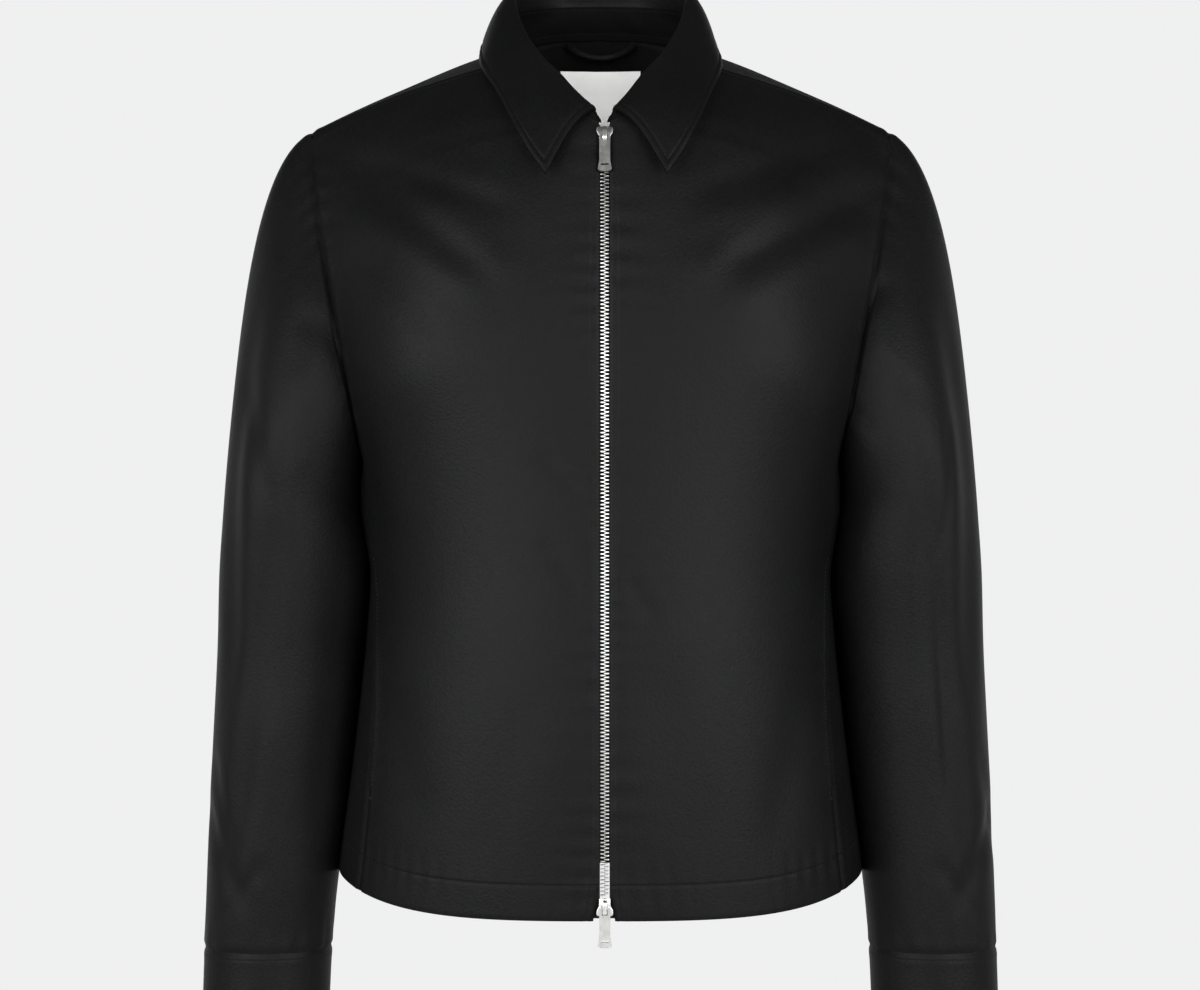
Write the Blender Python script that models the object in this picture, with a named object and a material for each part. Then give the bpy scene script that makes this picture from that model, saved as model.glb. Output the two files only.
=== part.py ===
"""A zipped shirt jacket of black cotton twill, filled out as it is worn.

Metres, +Z up, the front faces -Y. The origin lies between the shoulders, at the height of the neck.
Each cloth piece is a wall through sections: a grid of points on the outside of the cloth, and the same
grid moved in by the cloth's thickness. The tables give the sections of the wearer's right-hand half as
seen from the front (+X), and the other half mirrors them.
"""
import math

import bpy
import numpy as np
from mathutils import Vector
from mathutils.bvhtree import BVHTree

mm = 0.001

# Driving sizes
clothWall = 2.0 * mm
collarWall = 2.2 * mm
tapeWall = 1.0 * mm
labelWall = 1.0 * mm
halfSeam = 0.16 * mm
pitEase = 1.6
rimPasses = 1
seamPasses = 4
layerGap = 0.3 * mm
zipMiddle = 3.0 * mm
chainHalf = 3.2 * mm
tapeHalf = 3.5 * mm
tapeReach = 14.0 * mm
chainTop = -0.0772
chainFoot = -0.6152
tapeTop = -0.061
tapeFoot = -0.6305

# Rings of the body from the hem up to the armholes. z is the height at front, side and back; gap is from
# the zip's middle to the edge of the front; seam is the side seam's place, 0 at centre front, 1 at the side.
ringColumns = ("zFront", "zSide", "zBack", "halfWidth", "front", "back", "gap", "seam")
bodyRings = (
    (-0.6325, -0.6115, -0.6250, 0.1975, 0.1350, 0.1260, 0.0078, 0.69),
    (-0.6080, -0.5905, -0.6010, 0.1948, 0.1365, 0.1255, 0.0046, 0.69),
    (-0.5600, -0.5515, -0.5570, 0.1890, 0.1380, 0.1225, 0.0040, 0.70),
    (-0.5050, -0.5025, -0.5030, 0.1825, 0.1380, 0.1180, 0.0040, 0.72),
    (-0.4450, -0.4450, -0.4450, 0.1764, 0.1365, 0.1140, 0.0040, 0.77),
    (-0.3870, -0.3870, -0.3870, 0.1714, 0.1345, 0.1130, 0.0040, 0.84),
    (-0.3450, -0.3450, -0.3450, 0.1748, 0.1335, 0.1160, 0.0040, 0.92),
    (-0.3050, -0.3050, -0.3050, 0.1785, 0.1328, 0.1195, 0.0040, 1.00),
)

# Sections over the chest and the shoulder. Each runs from the zip or the neck (in) to the armhole (out).
# fall is the slope down in degrees at each end, sweep the turn at the armhole from sideways towards the
# back, and swell how far the section rounds out.
sectionColumns = ("inX", "inY", "inZ", "outX", "outY", "outZ", "fallIn", "fallOut", "sweep", "swell")
chestSections = (
    (0.0040, -0.1325, -0.2700, 0.1803, -0.0350, -0.2935, 0, 3, 82, 0.62),
    (0.0040, -0.1310, -0.2180, 0.1850, -0.0575, -0.2600, 2, 8, 68, 0.57),
    (0.0040, -0.1262, -0.1600, 0.1945, -0.0610, -0.2090, 4, 15, 54, 0.52),
    (0.0040, -0.1180, -0.1050, 0.2042, -0.0520, -0.1600, 6, 22, 41, 0.47),
    (0.0040, -0.1065, -0.0580, 0.2110, -0.0385, -0.1220, 8, 26, 30, 0.43),
    (0.0360, -0.0935, -0.0435, 0.2155, -0.0270, -0.0940, 12, 29, 21, 0.41),
    (0.0610, -0.0660, -0.0220, 0.2178, -0.0175, -0.0740, 14, 29, 12, 0.39),
    (0.0738, -0.0360, -0.0065, 0.2190, -0.0090, -0.0568, 16, 27, 5, 0.38),
)
chestCorner = 4
backSections = (
    (0.0000, 0.1220, -0.2700, 0.1803, 0.0370, -0.2935, 0, 3, -82, 0.62),
    (0.0000, 0.1250, -0.2150, 0.1855, 0.0630, -0.2580, 2, 8, -68, 0.57),
    (0.0000, 0.1250, -0.1400, 0.1970, 0.0745, -0.1980, 4, 16, -54, 0.50),
    (0.0000, 0.1165, -0.0700, 0.2065, 0.0680, -0.1480, 6, 22, -42, 0.46),
    (0.0000, 0.1010, -0.0120, 0.2130, 0.0550, -0.1080, 7, 26, -30, 0.43),
    (0.0000, 0.0760, 0.0310, 0.2165, 0.0410, -0.0820, 8, 27, -20, 0.41),
    (0.0400, 0.0690, 0.0280, 0.2185, 0.0270, -0.0650, 12, 28, -12, 0.39),
    (0.0665, 0.0430, 0.0180, 0.2193, 0.0160, -0.0560, 15, 27, -5, 0.38),
    (0.0755, 0.0060, 0.0060, 0.2195, 0.0050, -0.0525, 17, 27, 0, 0.38),
    (0.0738, -0.0360, -0.0065, 0.2190, -0.0090, -0.0568, 16, 27, 5, 0.38),
)
backCorner = 5
ringSwell = 0.64
sideRise = 1.9

# Steps between the sections, and along each of them.
ringSteps = (1, 2, 2, 2, 2, 2, 2)
chestSteps = (2, 2, 2, 2, 1, 2, 2, 2)
backSteps = (2, 2, 2, 2, 1, 1, 2, 2, 2, 1)
frontColumns = 10
backColumns = 10

# Sleeve sections below the armhole, to the cuff's seam and on through the cuff.
sleeveColumns = ("z", "middleX", "middleY", "halfWidth", "halfDepth")
sleeveSections = (
    (-0.3400, 0.2328, 0.0030, 0.0533, 0.0760),
    (-0.3870, 0.2310, 0.0040, 0.0584, 0.0730),
    (-0.4450, 0.2342, 0.0040, 0.0567, 0.0680),
    (-0.5050, 0.2385, 0.0000, 0.0548, 0.0630),
    (-0.5600, 0.2430, -0.0040, 0.0527, 0.0575),
    (-0.6200, 0.2479, -0.0100, 0.0494, 0.0510),
    (-0.6683, 0.2505, -0.0140, 0.0480, 0.0455),
    (-0.7300, 0.2525, -0.0180, 0.0475, 0.0425),
)
sleeveSteps = (2, 2, 2, 2, 2, 1)
capRows = 10
shoulderReach = 0.165
pitReach = 0.030
capDrop = 0.300
capForward = 0.060

# The largest folds, as soft troughs (depth below 0 is a ridge): from one end to the other, in metres
# around and up the piece. On the fronts the place around is x, on a sleeve it is the length round from
# its outer side, negative towards the front.
foldColumns = ("startAround", "startZ", "endAround", "endZ", "width", "depth")
frontFolds = (
    (0.178, -0.128, 0.085, -0.215, 0.015, 0.0022),
    (0.150, -0.110, 0.060, -0.175, 0.014, -0.0016),
    (0.150, -0.330, 0.128, -0.470, 0.020, 0.0022),
)
sleeveFolds = (
    (-0.030, -0.190, -0.045, -0.480, 0.013, 0.0035),
    (-0.085, -0.290, -0.060, -0.600, 0.013, 0.0030),
    (0.040, -0.210, 0.055, -0.520, 0.014, 0.0035),
    (-0.012, -0.560, -0.080, -0.640, 0.010, 0.0022),
)

# The collar, from centre back (first row) to centre front (last row): the place on the neck seam as a
# share of its length, the top of the roll, the leaf's free edge, the stand's share of the height, how far
# the leaf bows out, and how far the leaf's edge sits to the +X side.
collarColumns = ("neck", "rollX", "rollY", "rollZ", "edgeX", "edgeY", "edgeZ", "stand", "bow", "shift")
collarSections = (
    (0.000, 0.0000, 0.0840, 0.0680, 0.0000, 0.1000, 0.0190, 0.73, 0.004, 0.0000),
    (0.170, 0.0330, 0.0770, 0.0672, 0.0400, 0.0955, 0.0190, 0.72, 0.004, 0.0000),
    (0.310, 0.0560, 0.0560, 0.0645, 0.0735, 0.0730, 0.0195, 0.68, 0.004, -0.0008),
    (0.420, 0.0665, 0.0280, 0.0590, 0.0885, 0.0375, 0.0160, 0.62, 0.004, -0.0015),
    (0.530, 0.0675, -0.0020, 0.0495, 0.0912, -0.0010, 0.0068, 0.58, 0.003, -0.0010),
    (0.640, 0.0600, -0.0300, 0.0238, 0.0900, -0.0480, -0.0110, 0.54, 0.004, 0.0008),
    (0.740, 0.0465, -0.0550, -0.0008, 0.0786, -0.0835, -0.0345, 0.50, 0.005, 0.0028),
    (0.840, 0.0315, -0.0748, -0.0188, 0.0660, -0.1110, -0.0615, 0.46, 0.007, 0.0035),
    (0.930, 0.0182, -0.0930, -0.0368, 0.0550, -0.1220, -0.0820, 0.40, 0.007, 0.0038),
    (1.000, 0.0072, -0.1085, -0.0492, 0.0435, -0.1290, -0.0990, 0.34, 0.002, 0.0042),
)
rollRadius = 3.0 * mm
rollFlare = 0.35
footRise = 0.8 * mm
collarSeam = 1.25 * mm
leafRows = 6

# Slider and pull tab, around the tab's axis.
plateWidth = 12.2 * mm
plateTall = 13.0 * mm
plateThick = 1.8 * mm
coreHalf = 2.8 * mm
coreDeep = 3.8 * mm
bridgeWide = 3.2 * mm
bridgeHalf = 3.3 * mm
bridgeRise = 3.5 * mm
bridgeThick = 1.1 * mm
pinThick = 1.4 * mm
tabThick = 1.3 * mm
tabHalf = 4.1 * mm
tabFlare = 0.9 * mm
tabLong = 28.5 * mm
windowHalf = 2.1 * mm
windowLong = 4.4 * mm
slotHalf = 3.0 * mm
slotTall = 1.5 * mm
slotFromEnd = 4.0 * mm
sliderHeights = {"top": -0.0698, "bottom": -0.6222}

pocketTop = -0.380
pocketFoot = -0.548
facingAhead = 0.010
facingBehind = 0.014
labelHalf = 0.0315
labelTop = 0.0055
labelFoot = -0.0425
loopHalf = 0.0255
loopTall = 0.0055
loopSag = 0.0120
loopStandOff = 0.0080
loopTop = 0.0245


def clearScene():
    for thing in list(bpy.data.objects):
        bpy.data.objects.remove(thing, do_unlink=True)


def paint(name, colour, roughness, metallic=0.0):
    material = bpy.data.materials.new(name)
    material.use_nodes = True
    shader = material.node_tree.nodes["Principled BSDF"]
    shader.inputs["Base Color"].default_value = (*colour, 1.0)
    shader.inputs["Roughness"].default_value = roughness
    shader.inputs["Metallic"].default_value = metallic
    return material


def unit(vectors):
    return vectors / np.maximum(np.linalg.norm(vectors, axis=-1, keepdims=True), 1e-12)


def through(table, places, corners=()):
    """Smooth values through a table's rows; a path may turn sharply at the rows in corners."""
    table = np.asarray(table, float)
    places = np.atleast_1d(np.asarray(places, float))
    ends = [0, *corners, len(table) - 1]
    result = np.empty((len(places), table.shape[1]))
    for first, last in zip(ends[:-1], ends[1:]):
        rows = table[first:last + 1]
        slope = np.gradient(rows, axis=0)
        inside = (places >= first) & (places <= last)
        local = places[inside] - first
        step = np.clip(np.floor(local).astype(int), 0, last - first - 1)
        f = (local - step)[:, None]
        result[inside] = (
            (2 * f**3 - 3 * f**2 + 1) * rows[step] + (f**3 - 2 * f**2 + f) * slope[step]
            + (3 * f**2 - 2 * f**3) * rows[step + 1] + (f**3 - f**2) * slope[step + 1])
    return result


def placesFor(steps):
    """Places along a table, with the given number of steps between its rows."""
    places = [0.0]
    for row, count in enumerate(steps):
        places += [row + (i + 1) / count for i in range(count)]
    return np.array(places)


def heading(fall, sweep):
    fall = np.radians(fall)
    sweep = np.radians(sweep)
    return np.stack([np.cos(fall) * np.cos(sweep), np.cos(fall) * np.sin(sweep), -np.sin(fall)], axis=-1)


class Half:
    """Half of the body's front or back: sections from the hem up to the shoulder seam."""

    def __init__(self, sections, corner, front, shift=0.0):
        face = -1.0 if front else 1.0
        inner, outer, shape = [], [], []
        for zFront, zSide, zBack, halfWidth, frontDepth, backDepth, gap, seam in bodyRings:
            depth = frontDepth if front else backDepth
            height = zFront if front else zBack
            inner.append((gap if front else 0.0, face * depth, height))
            outer.append((halfWidth, 0.0, zSide))
            shape.append((0.0, 0.0, -90.0 * face, ringSwell, seam))
        for inX, inY, inZ, outX, outY, outZ, fallIn, fallOut, sweep, swell in sections:
            inner.append((inX, inY, inZ))
            outer.append((outX, outY, outZ))
            shape.append((fallIn, fallOut, sweep, swell, 1.0))
        self.inner = np.array(inner)
        if front:
            self.inner[:, 0] += shift * np.clip(1 - self.inner[:, 0] / 0.05, 0, 1)
        self.outer = outer
        self.shape = shape
        self.pit = len(bodyRings) - 1
        self.corner = self.pit + 1 + corner

    def points(self, place, u):
        """Points at shares u along the section at each place: arrays of the same length."""
        start = through(self.inner, place, [self.corner])
        end = through(self.outer, place, [self.pit])
        fallIn, fallOut, sweep, swell, _ = through(self.shape, place).T
        leave = heading(fallIn, 0 * fallIn)
        arrive = heading(fallOut, sweep)
        chord = end - start
        leave = leave * (swell * np.sum(chord * leave, axis=1))[:, None]
        arrive = arrive * (swell * np.sum(chord * arrive, axis=1))[:, None]
        u = u[:, None]
        result = ((1 - u)**3 * start + 3 * (1 - u)**2 * u * (start + leave)
                  + 3 * (1 - u) * u**2 * (end - arrive) + u**3 * end)
        share = np.clip(u[:, 0], 0, 1)
        rise = (share**2 * (3 - 2 * share))**sideRise
        level = start[:, 2] + (end[:, 2] - start[:, 2]) * rise
        result[:, 2] = np.where(place <= self.pit, level, result[:, 2])
        return result

    def seamShare(self, place):
        return through(self.shape, place)[:, 4]


def foldDepth(around, z, folds):
    """How far soft troughs sink the cloth at places given around and up the piece."""
    depth = np.zeros_like(z)
    for startAround, startZ, endAround, endZ, width, sink in folds:
        run = np.array([endAround - startAround, endZ - startZ])
        along = ((around - startAround) * run[0] + (z - startZ) * run[1]) / (run @ run)
        off = ((around - startAround) * run[1] - (z - startZ) * run[0]) / math.hypot(*run)
        taper = np.clip(np.minimum(along, 1 - along) * 3.2 + 0.35, 0, 1)
        depth += sink * np.exp(-(off / width)**2) * taper**2 * (3 - 2 * taper)
    return depth


def edgeFade(count, reach, both=True):
    """Zero at the edge of a grid, rising to one over the given share of its length."""
    share = np.linspace(0, 1, count)
    near = np.minimum(share, 1 - share) if both else 1 - share
    rise = np.clip(near / reach, 0, 1)
    return rise**2 * (3 - 2 * rise)


def gridNormals(grid, probe, toward, around=False):
    """Unit normals of a grid of points, turned so that the one at probe faces toward."""
    down = np.gradient(grid, axis=0)
    if around:
        across = (np.roll(grid, -1, axis=1) - np.roll(grid, 1, axis=1)) / 2
    else:
        across = np.gradient(grid, axis=1)
    normals = unit(np.cross(down, across))
    if np.dot(normals[probe], toward) < 0:
        normals = -normals
    return normals


def frontGrid(side):
    """Points on the outside of one front, rows from the hem up, columns from the zip outwards."""
    half = Half(chestSections, chestCorner, True, side * zipMiddle)
    places = placesFor(ringSteps + chestSteps)
    shares = np.linspace(0, 1, frontColumns + 1)
    rows = []
    for place in places:
        reach = half.seamShare([place])[0]
        rows.append(half.points(np.full(len(shares), place), shares * reach))
    grid = np.array(rows)
    normals = gridNormals(grid, (6, 3), (0, -1, 0))
    fade = edgeFade(len(places), 0.10)[:, None] * edgeFade(len(shares), 0.16)[None, :]
    grid = grid - normals * (foldDepth(grid[..., 0], grid[..., 2], frontFolds) * fade)[..., None]
    return grid, places, half


def backGrid(side):
    """Points on the outside of one half of the back, columns from the side seam to centre back."""
    half = Half(backSections, backCorner, False)
    ahead = Half(chestSections, chestCorner, True, side * zipMiddle)
    places = placesFor(ringSteps + backSteps)
    shares = np.linspace(0, 1, backColumns + 1)
    rows = []
    for place in places:
        seam = ahead.seamShare([min(place, half.pit)])[0] if place <= half.pit else 1.0
        ring = seam + (2 - seam) * shares
        full = np.full(len(shares), place)
        behind = half.points(full, 2 - ring)
        if place <= half.pit:
            before = ahead.points(full, ring)
            behind = np.where((ring < 1)[:, None], before, behind)
        rows.append(behind)
    return np.array(rows), places, half


def sleeveRing(place, angles):
    """A section of the sleeve; the angle is 0 at its outer side and -90 degrees at its front."""
    z, middleX, middleY, halfWidth, halfDepth = through(sleeveSections, [place])[0]
    x = middleX + halfWidth * np.cos(angles)
    y = middleY + halfDepth * np.sin(angles)
    return np.stack([x, y, np.full(len(angles), z)], axis=1)


def ringAngles(armhole, tip):
    """Where each armhole point lands around the sleeve: the pit inside, the shoulder tip outside."""
    loop = np.vstack([armhole, armhole[:1]])
    walked = np.concatenate([[0], np.cumsum(np.linalg.norm(np.diff(loop, axis=0), axis=1))])
    before = walked[:tip + 1] / walked[tip]
    behind = (walked[tip:-1] - walked[tip]) / (walked[-1] - walked[tip])
    return np.concatenate([-np.pi + np.pi * before, np.pi * behind[1:]])


def sleeveGrid(armhole, tip):
    """Points on the outside of a sleeve: the fan of the cap, then sections down to the cuff."""
    angles = ringAngles(armhole, tip)
    target = sleeveRing(0.0, angles)
    leaving = unit(sleeveRing(0.3, angles) - target)
    high = (armhole[:, 2:3] - armhole[:, 2].min()) / np.ptp(armhole[:, 2])
    lift = high**1.3
    reach = pitReach + (shoulderReach - pitReach) * lift
    outward = heading(24.0 + 62.0 * (1 - high[:, 0]), 0 * high[:, 0])
    forward = np.zeros_like(armhole)
    forward[:, 1] = np.sin(angles) * capForward * np.sin(np.pi * high[:, 0])
    start = outward * reach + forward
    finish = leaving * (pitReach + (capDrop - pitReach) * lift)
    rows = []
    for v in np.linspace(0, 1, capRows + 1):
        rows.append((2 * v**3 - 3 * v**2 + 1) * armhole + (v**3 - 2 * v**2 + v) * start
                    + (3 * v**2 - 2 * v**3) * target + (v**3 - v**2) * finish)
    for place in placesFor(sleeveSteps)[1:]:
        rows.append(sleeveRing(place, angles))
    grid = np.array(rows)
    normals = gridNormals(grid, (capRows, tip), (1, 0, 0), around=True)
    girth = np.broadcast_to(angles * 0.058, grid.shape[:2])
    fade = edgeFade(len(rows), 0.12)[:, None]
    grid = grid - normals * (foldDepth(girth, grid[..., 2], sleeveFolds) * fade)[..., None]
    return grid, angles


def cuffGrid(angles):
    last = len(sleeveSections) - 2
    rows = [sleeveRing(last + share, angles) for share in (0.0, 0.12, 0.5, 0.88, 1.0)]
    grid = np.array(rows)
    grid[0, :, 2] -= 2 * halfSeam
    return grid


def neckSeam():
    """The neck seam from centre back to centre front at the body's own sections, and its shares."""
    chest = Half(chestSections, chestCorner, True)
    behind = Half(backSections, backCorner, False)
    rear = placesFor(ringSteps + backSteps)
    fore = placesFor(ringSteps + chestSteps)[::-1]
    path = np.vstack([
        through(behind.inner, rear[rear >= behind.corner], [behind.corner]),
        through(chest.inner, fore[fore >= chest.corner], [chest.corner])[1:]])
    walked = np.concatenate([[0], np.cumsum(np.linalg.norm(np.diff(path, axis=0), axis=1))])
    return path, walked / walked[-1]


def collarLines(side):
    """Neck seam, roll, leaf edge and shares at stations from centre back to centre front."""
    seam, shares = neckSeam()
    table = np.array(collarSections)
    stations = np.interp(shares, table[:, 0], np.arange(len(table)))
    roll, edge = np.split(through(table, stations)[:, 1:7], 2, axis=1)
    stand, bow, shift = through(table, stations)[:, 7:].T
    aside = zipMiddle * np.clip(1 - seam[:, 0] / 0.05, 0, 1) * np.clip(shares * 4 - 2, 0, 1)
    seam[:, 0] += side * aside
    roll[:, 0] += side * aside
    edge[:, 0] += side * shift
    return seam, roll, edge, stand, bow


def bothSides(make):
    """Join what make(side) gives for the two halves into one run from left front to right front."""
    mirror = np.array([-1.0, 1.0, 1.0])
    left, right = make(-1.0), make(1.0)
    return np.concatenate([(left * mirror)[::-1], right[1:]], axis=0)


def collarGrids():
    """Outer points of the stand (facing the neck) and of the fall, columns along the profile."""
    up = np.array([0, 0, 1.0])

    def frame(side):
        seam, roll, edge, stand, bow = collarLines(side)
        run = unit(np.gradient(roll, axis=0))
        run[0] = (1.0, 0.0, 0.0)
        rise = unit(up - run * run[:, 2:])
        out = np.cross(rise, run)
        centre = roll - rise * rollRadius
        foot = seam + up * footRise - unit(out * [1, 1, 0]) * 1.9 * mm
        inside = centre - out * rollRadius
        top = foot + (inside - foot) * stand[:, None]
        return foot, top, inside, centre, edge, bow[:, None], out, rise

    def standHalf(side):
        foot, top, inside, centre, edge, bow, out, rise = frame(side)
        lean = out * 0.08 * np.linalg.norm(top - foot, axis=1, keepdims=True)
        return np.stack([foot, foot + (top - foot) / 3 + lean, foot + (top - foot) * 2 / 3 + lean, top], axis=1)

    def fallHalf(side):
        foot, top, inside, centre, edge, bow, out, rise = frame(side)
        leg = inside - top
        columns = [top + leg * (collarSeam / np.linalg.norm(leg, axis=1, keepdims=True)), top + leg * 0.5, inside]
        along = unit(edge - centre)
        turn = np.arctan2(np.sum(along * out, axis=1), -np.sum(along * rise, axis=1))[:, None] + rollFlare * bow / 0.004
        for share in (0.25, 0.5, 0.75, 1.0):
            bend = np.pi + (turn - np.pi) * share
            spot = centre + rollRadius * (out * np.cos(bend) + rise * np.sin(bend))
            columns.append(spot)
        start = columns.pop()
        leave = out * np.sin(turn) - rise * np.cos(turn)
        length = np.linalg.norm(edge - start, axis=1, keepdims=True)
        along = unit(edge - start)
        proud = leave - along * np.sum(leave * along, axis=1, keepdims=True)
        proud = unit(proud)
        ahead = start + leave * length * 0.30
        late = edge - along * length * 0.33 + proud * bow
        for u in np.linspace(0, 1, leafRows + 1):
            columns.append((1 - u)**3 * start + 3 * (1 - u)**2 * u * ahead
                           + 3 * (1 - u) * u**2 * late + u**3 * edge)
        return np.stack(columns, axis=1)

    return bothSides(standHalf), bothSides(fallHalf)


def gridFaces(rows, columns, around=False):
    faces = []
    for r in range(rows - 1):
        for c in range(columns if around else columns - 1):
            d = (c + 1) % columns
            faces.append((r * columns + c, (r + 1) * columns + c, (r + 1) * columns + d, r * columns + d))
    return faces


def meshObject(name, points, faces, material, smooth=40):
    mesh = bpy.data.meshes.new(name)
    mesh.from_pydata([tuple(map(float, p)) for p in points], [], [tuple(map(int, f)) for f in faces])
    mesh.materials.append(material)
    if smooth:
        mesh.shade_smooth()
        mesh.set_sharp_from_angle(angle=math.radians(smooth))
    thing = bpy.data.objects.new(name, mesh)
    bpy.context.scene.collection.objects.link(thing)
    return thing


def signedVolume(points, faces):
    total = 0.0
    for face in faces:
        first = points[face[0]]
        for second, third in zip(face[1:-1], face[2:]):
            total += np.dot(first, np.cross(points[second], points[third]))
    return total


def wall(name, skin, normals, faces, thickness, material, smooth=40):
    """A closed wall: the skin's faces, the same faces moved in along the normals, and a rim between."""
    count = len(skin)
    points = np.vstack([skin, skin - normals * thickness])
    solid = list(faces) + [tuple(i + count for i in reversed(face)) for face in faces]
    used = {}
    for face in faces:
        for a, b in zip(face, face[1:] + face[:1]):
            used[(a, b)] = True
    for a, b in used:
        if (b, a) not in used:
            solid.append((b, a, a + count, b + count))
    if signedVolume(points, solid) < 0:
        solid = [tuple(reversed(face)) for face in solid]
    return meshObject(name, points, solid, material, smooth)


def pullBack(grid, edge, amount=halfSeam):
    """Move one edge of a grid back from its seam, along the cloth; amount may differ along the edge."""
    lines = {"top": (grid[-1], grid[-2]), "bottom": (grid[0], grid[1]),
             "first": (grid[:, 0], grid[:, 1]), "last": (grid[:, -1], grid[:, -2])}
    line, inner = lines[edge]
    line += unit(inner - line) * np.broadcast_to(amount, len(line))[:, None]


def share(*views):
    """Give pieces that meet at a seam the same normals along it."""
    mean = unit(sum(view.copy() for view in views))
    for view in views:
        view[...] = mean


def mirrored(points, side):
    return points * np.array([side, 1.0, 1.0])


def buildSide(side, word, cloth):
    """One front, sleeve and cuff; gives this half of the back with the normals that its seams share."""
    back, backPlaces, backHalf = backGrid(side)
    pitRow = int(np.argmin(abs(backPlaces - backHalf.pit)))
    neckRow = int(np.argmin(abs(backPlaces - backHalf.corner)))
    behind = gridNormals(back, (6, backColumns - 2), (0, 1, 0))
    behind[:neckRow + 1, -1, 0] = 0
    behind[:neckRow + 1, -1] = unit(behind[:neckRow + 1, -1])
    front = frontGrid(side)[0]
    ahead = gridNormals(front, (6, 3), (0, -1, 0))
    share(ahead[:pitRow, -1], behind[:pitRow, 0])
    share(ahead[-1], behind[-1, ::-1])
    armhole = np.vstack([front[pitRow:, -1], back[-2:pitRow:-1, 0]])
    tip = len(front) - 1 - pitRow
    sleeve, angles = sleeveGrid(armhole, tip)
    around = gridNormals(sleeve, (capRows, tip), (1, 0, 0), around=True)
    rim = np.vstack([ahead[pitRow:, -1], behind[-2:pitRow:-1, 0]])
    rim[0] = unit(rim[0] + behind[pitRow, 0])
    rim = unit(rim + around[0])
    for _ in range(rimPasses):
        rim = unit(np.roll(rim, 1, axis=0) + 2 * rim + np.roll(rim, -1, axis=0))
    around[0] = rim
    ahead[pitRow:, -1] = rim[:tip + 1]
    behind[-2:pitRow:-1, 0] = rim[tip + 1:]
    behind[-1, 0] = rim[tip]
    behind[pitRow, 0] = rim[0]
    cuff = cuffGrid(angles)
    cuffFacing = gridNormals(cuff, (1, tip), (1, 0, 0), around=True)
    share(around[-1], cuffFacing[0])
    nearPit = halfSeam * (1 + pitEase * np.exp(-(np.arange(len(back)) - pitRow)**2 / 2.0))
    nearPitAround = halfSeam * (1 + pitEase * np.exp(-(1 + np.cos(angles)) * 12))
    pullBack(front, "last", nearPit[:len(front)])
    pullBack(front, "top")
    pullBack(back, "first", nearPit[:len(back)])
    pullBack(back, "top")
    pullBack(sleeve, "bottom", nearPitAround)
    for name, grid, facing, closed in (("front_", front, ahead, False), ("sleeve_", sleeve, around, True),
                                       ("cuff_", cuff, cuffFacing, True)):
        wall(name + word, mirrored(grid, side).reshape(-1, 3), mirrored(facing, side).reshape(-1, 3),
             gridFaces(*grid.shape[:2], around=closed), clothWall, cloth)
    return mirrored(back, side), mirrored(behind, side), neckRow


def buildBodyAndSleeves(cloth):
    left, leftFacing, neckRow = buildSide(-1.0, "left", cloth)
    right, rightFacing, neckRow = buildSide(1.0, "right", cloth)
    rows, columns = right.shape[:2]
    count = rows * columns
    faces = gridFaces(rows, columns)

    def leftIndex(i):
        onMiddle = i % columns == columns - 1 and i // columns <= neckRow
        return i if onMiddle else i + count

    faces = faces + [tuple(leftIndex(i) for i in reversed(face)) for face in faces]
    kept = sorted({i for face in faces for i in face})
    place = {old: new for new, old in enumerate(kept)}
    faces = [tuple(place[i] for i in face) for face in faces]
    skin = np.vstack([right.reshape(-1, 3), left.reshape(-1, 3)])[kept]
    facing = np.vstack([rightFacing.reshape(-1, 3), leftFacing.reshape(-1, 3)])[kept]
    return wall("back", skin, facing, faces, clothWall, cloth)


def buildCollar(cloth):
    standGrid, fallGrid = collarGrids()
    middle = len(standGrid) // 2
    standNormals = gridNormals(standGrid, (middle, 1), (0, -1, 0))
    fallNormals = gridNormals(fallGrid, (middle, 4), (0, 0, 1))
    standNormals[:, 0, 2] = 0
    standNormals[:, 0] = unit(standNormals[:, 0])
    share(standNormals[:, -1], fallNormals[:, 0])
    for _ in range(seamPasses):
        line = fallNormals[:, 0].copy()
        line[1:-1] = unit(line[:-2] + 2 * line[1:-1] + line[2:])
        standNormals[:, -1] = line
        fallNormals[:, 0] = line
    for name, grid, normals in (("collar_stand", standGrid, standNormals), ("collar_fall", fallGrid, fallNormals)):
        rows, columns = grid.shape[:2]
        wall(name, grid.reshape(-1, 3), normals.reshape(-1, 3), gridFaces(rows, columns), collarWall, cloth)


def zipLine(heights):
    """The zip's line at centre front: points on the outside of the cloth, and outward normals."""
    chest = Half(chestSections, chestCorner, True)
    places = np.linspace(0, chest.corner, 160)
    path = through(chest.inner, places, [chest.corner])
    y = np.interp(heights, path[:, 2], path[:, 1])
    lean = np.interp(heights, path[:, 2], np.gradient(path[:, 1], path[:, 2]))
    points = np.stack([np.full(len(heights), zipMiddle), y, heights], axis=1)
    normals = unit(np.stack([0 * lean, -np.ones(len(heights)), lean], axis=1))
    return points, normals


def strip(name, points, normals, left, right, front, behind, material):
    """A bar of rectangular section along a line; front and behind are depths in from the cloth's face."""
    corners = []
    for x, depth in ((left, front), (right, front), (right, behind), (left, behind)):
        corners.append(points + [x, 0, 0] - normals * depth)
    ring = np.stack(corners, axis=1)
    rows = len(ring)
    faces = gridFaces(rows, 4, around=True) + [(0, 1, 2, 3), tuple(4 * (rows - 1) + i for i in (3, 2, 1, 0))]
    flat = ring.reshape(-1, 3)
    if signedVolume(flat, faces) < 0:
        faces = [tuple(reversed(face)) for face in faces]
    return meshObject(name, flat, faces, material, smooth=30)


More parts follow.
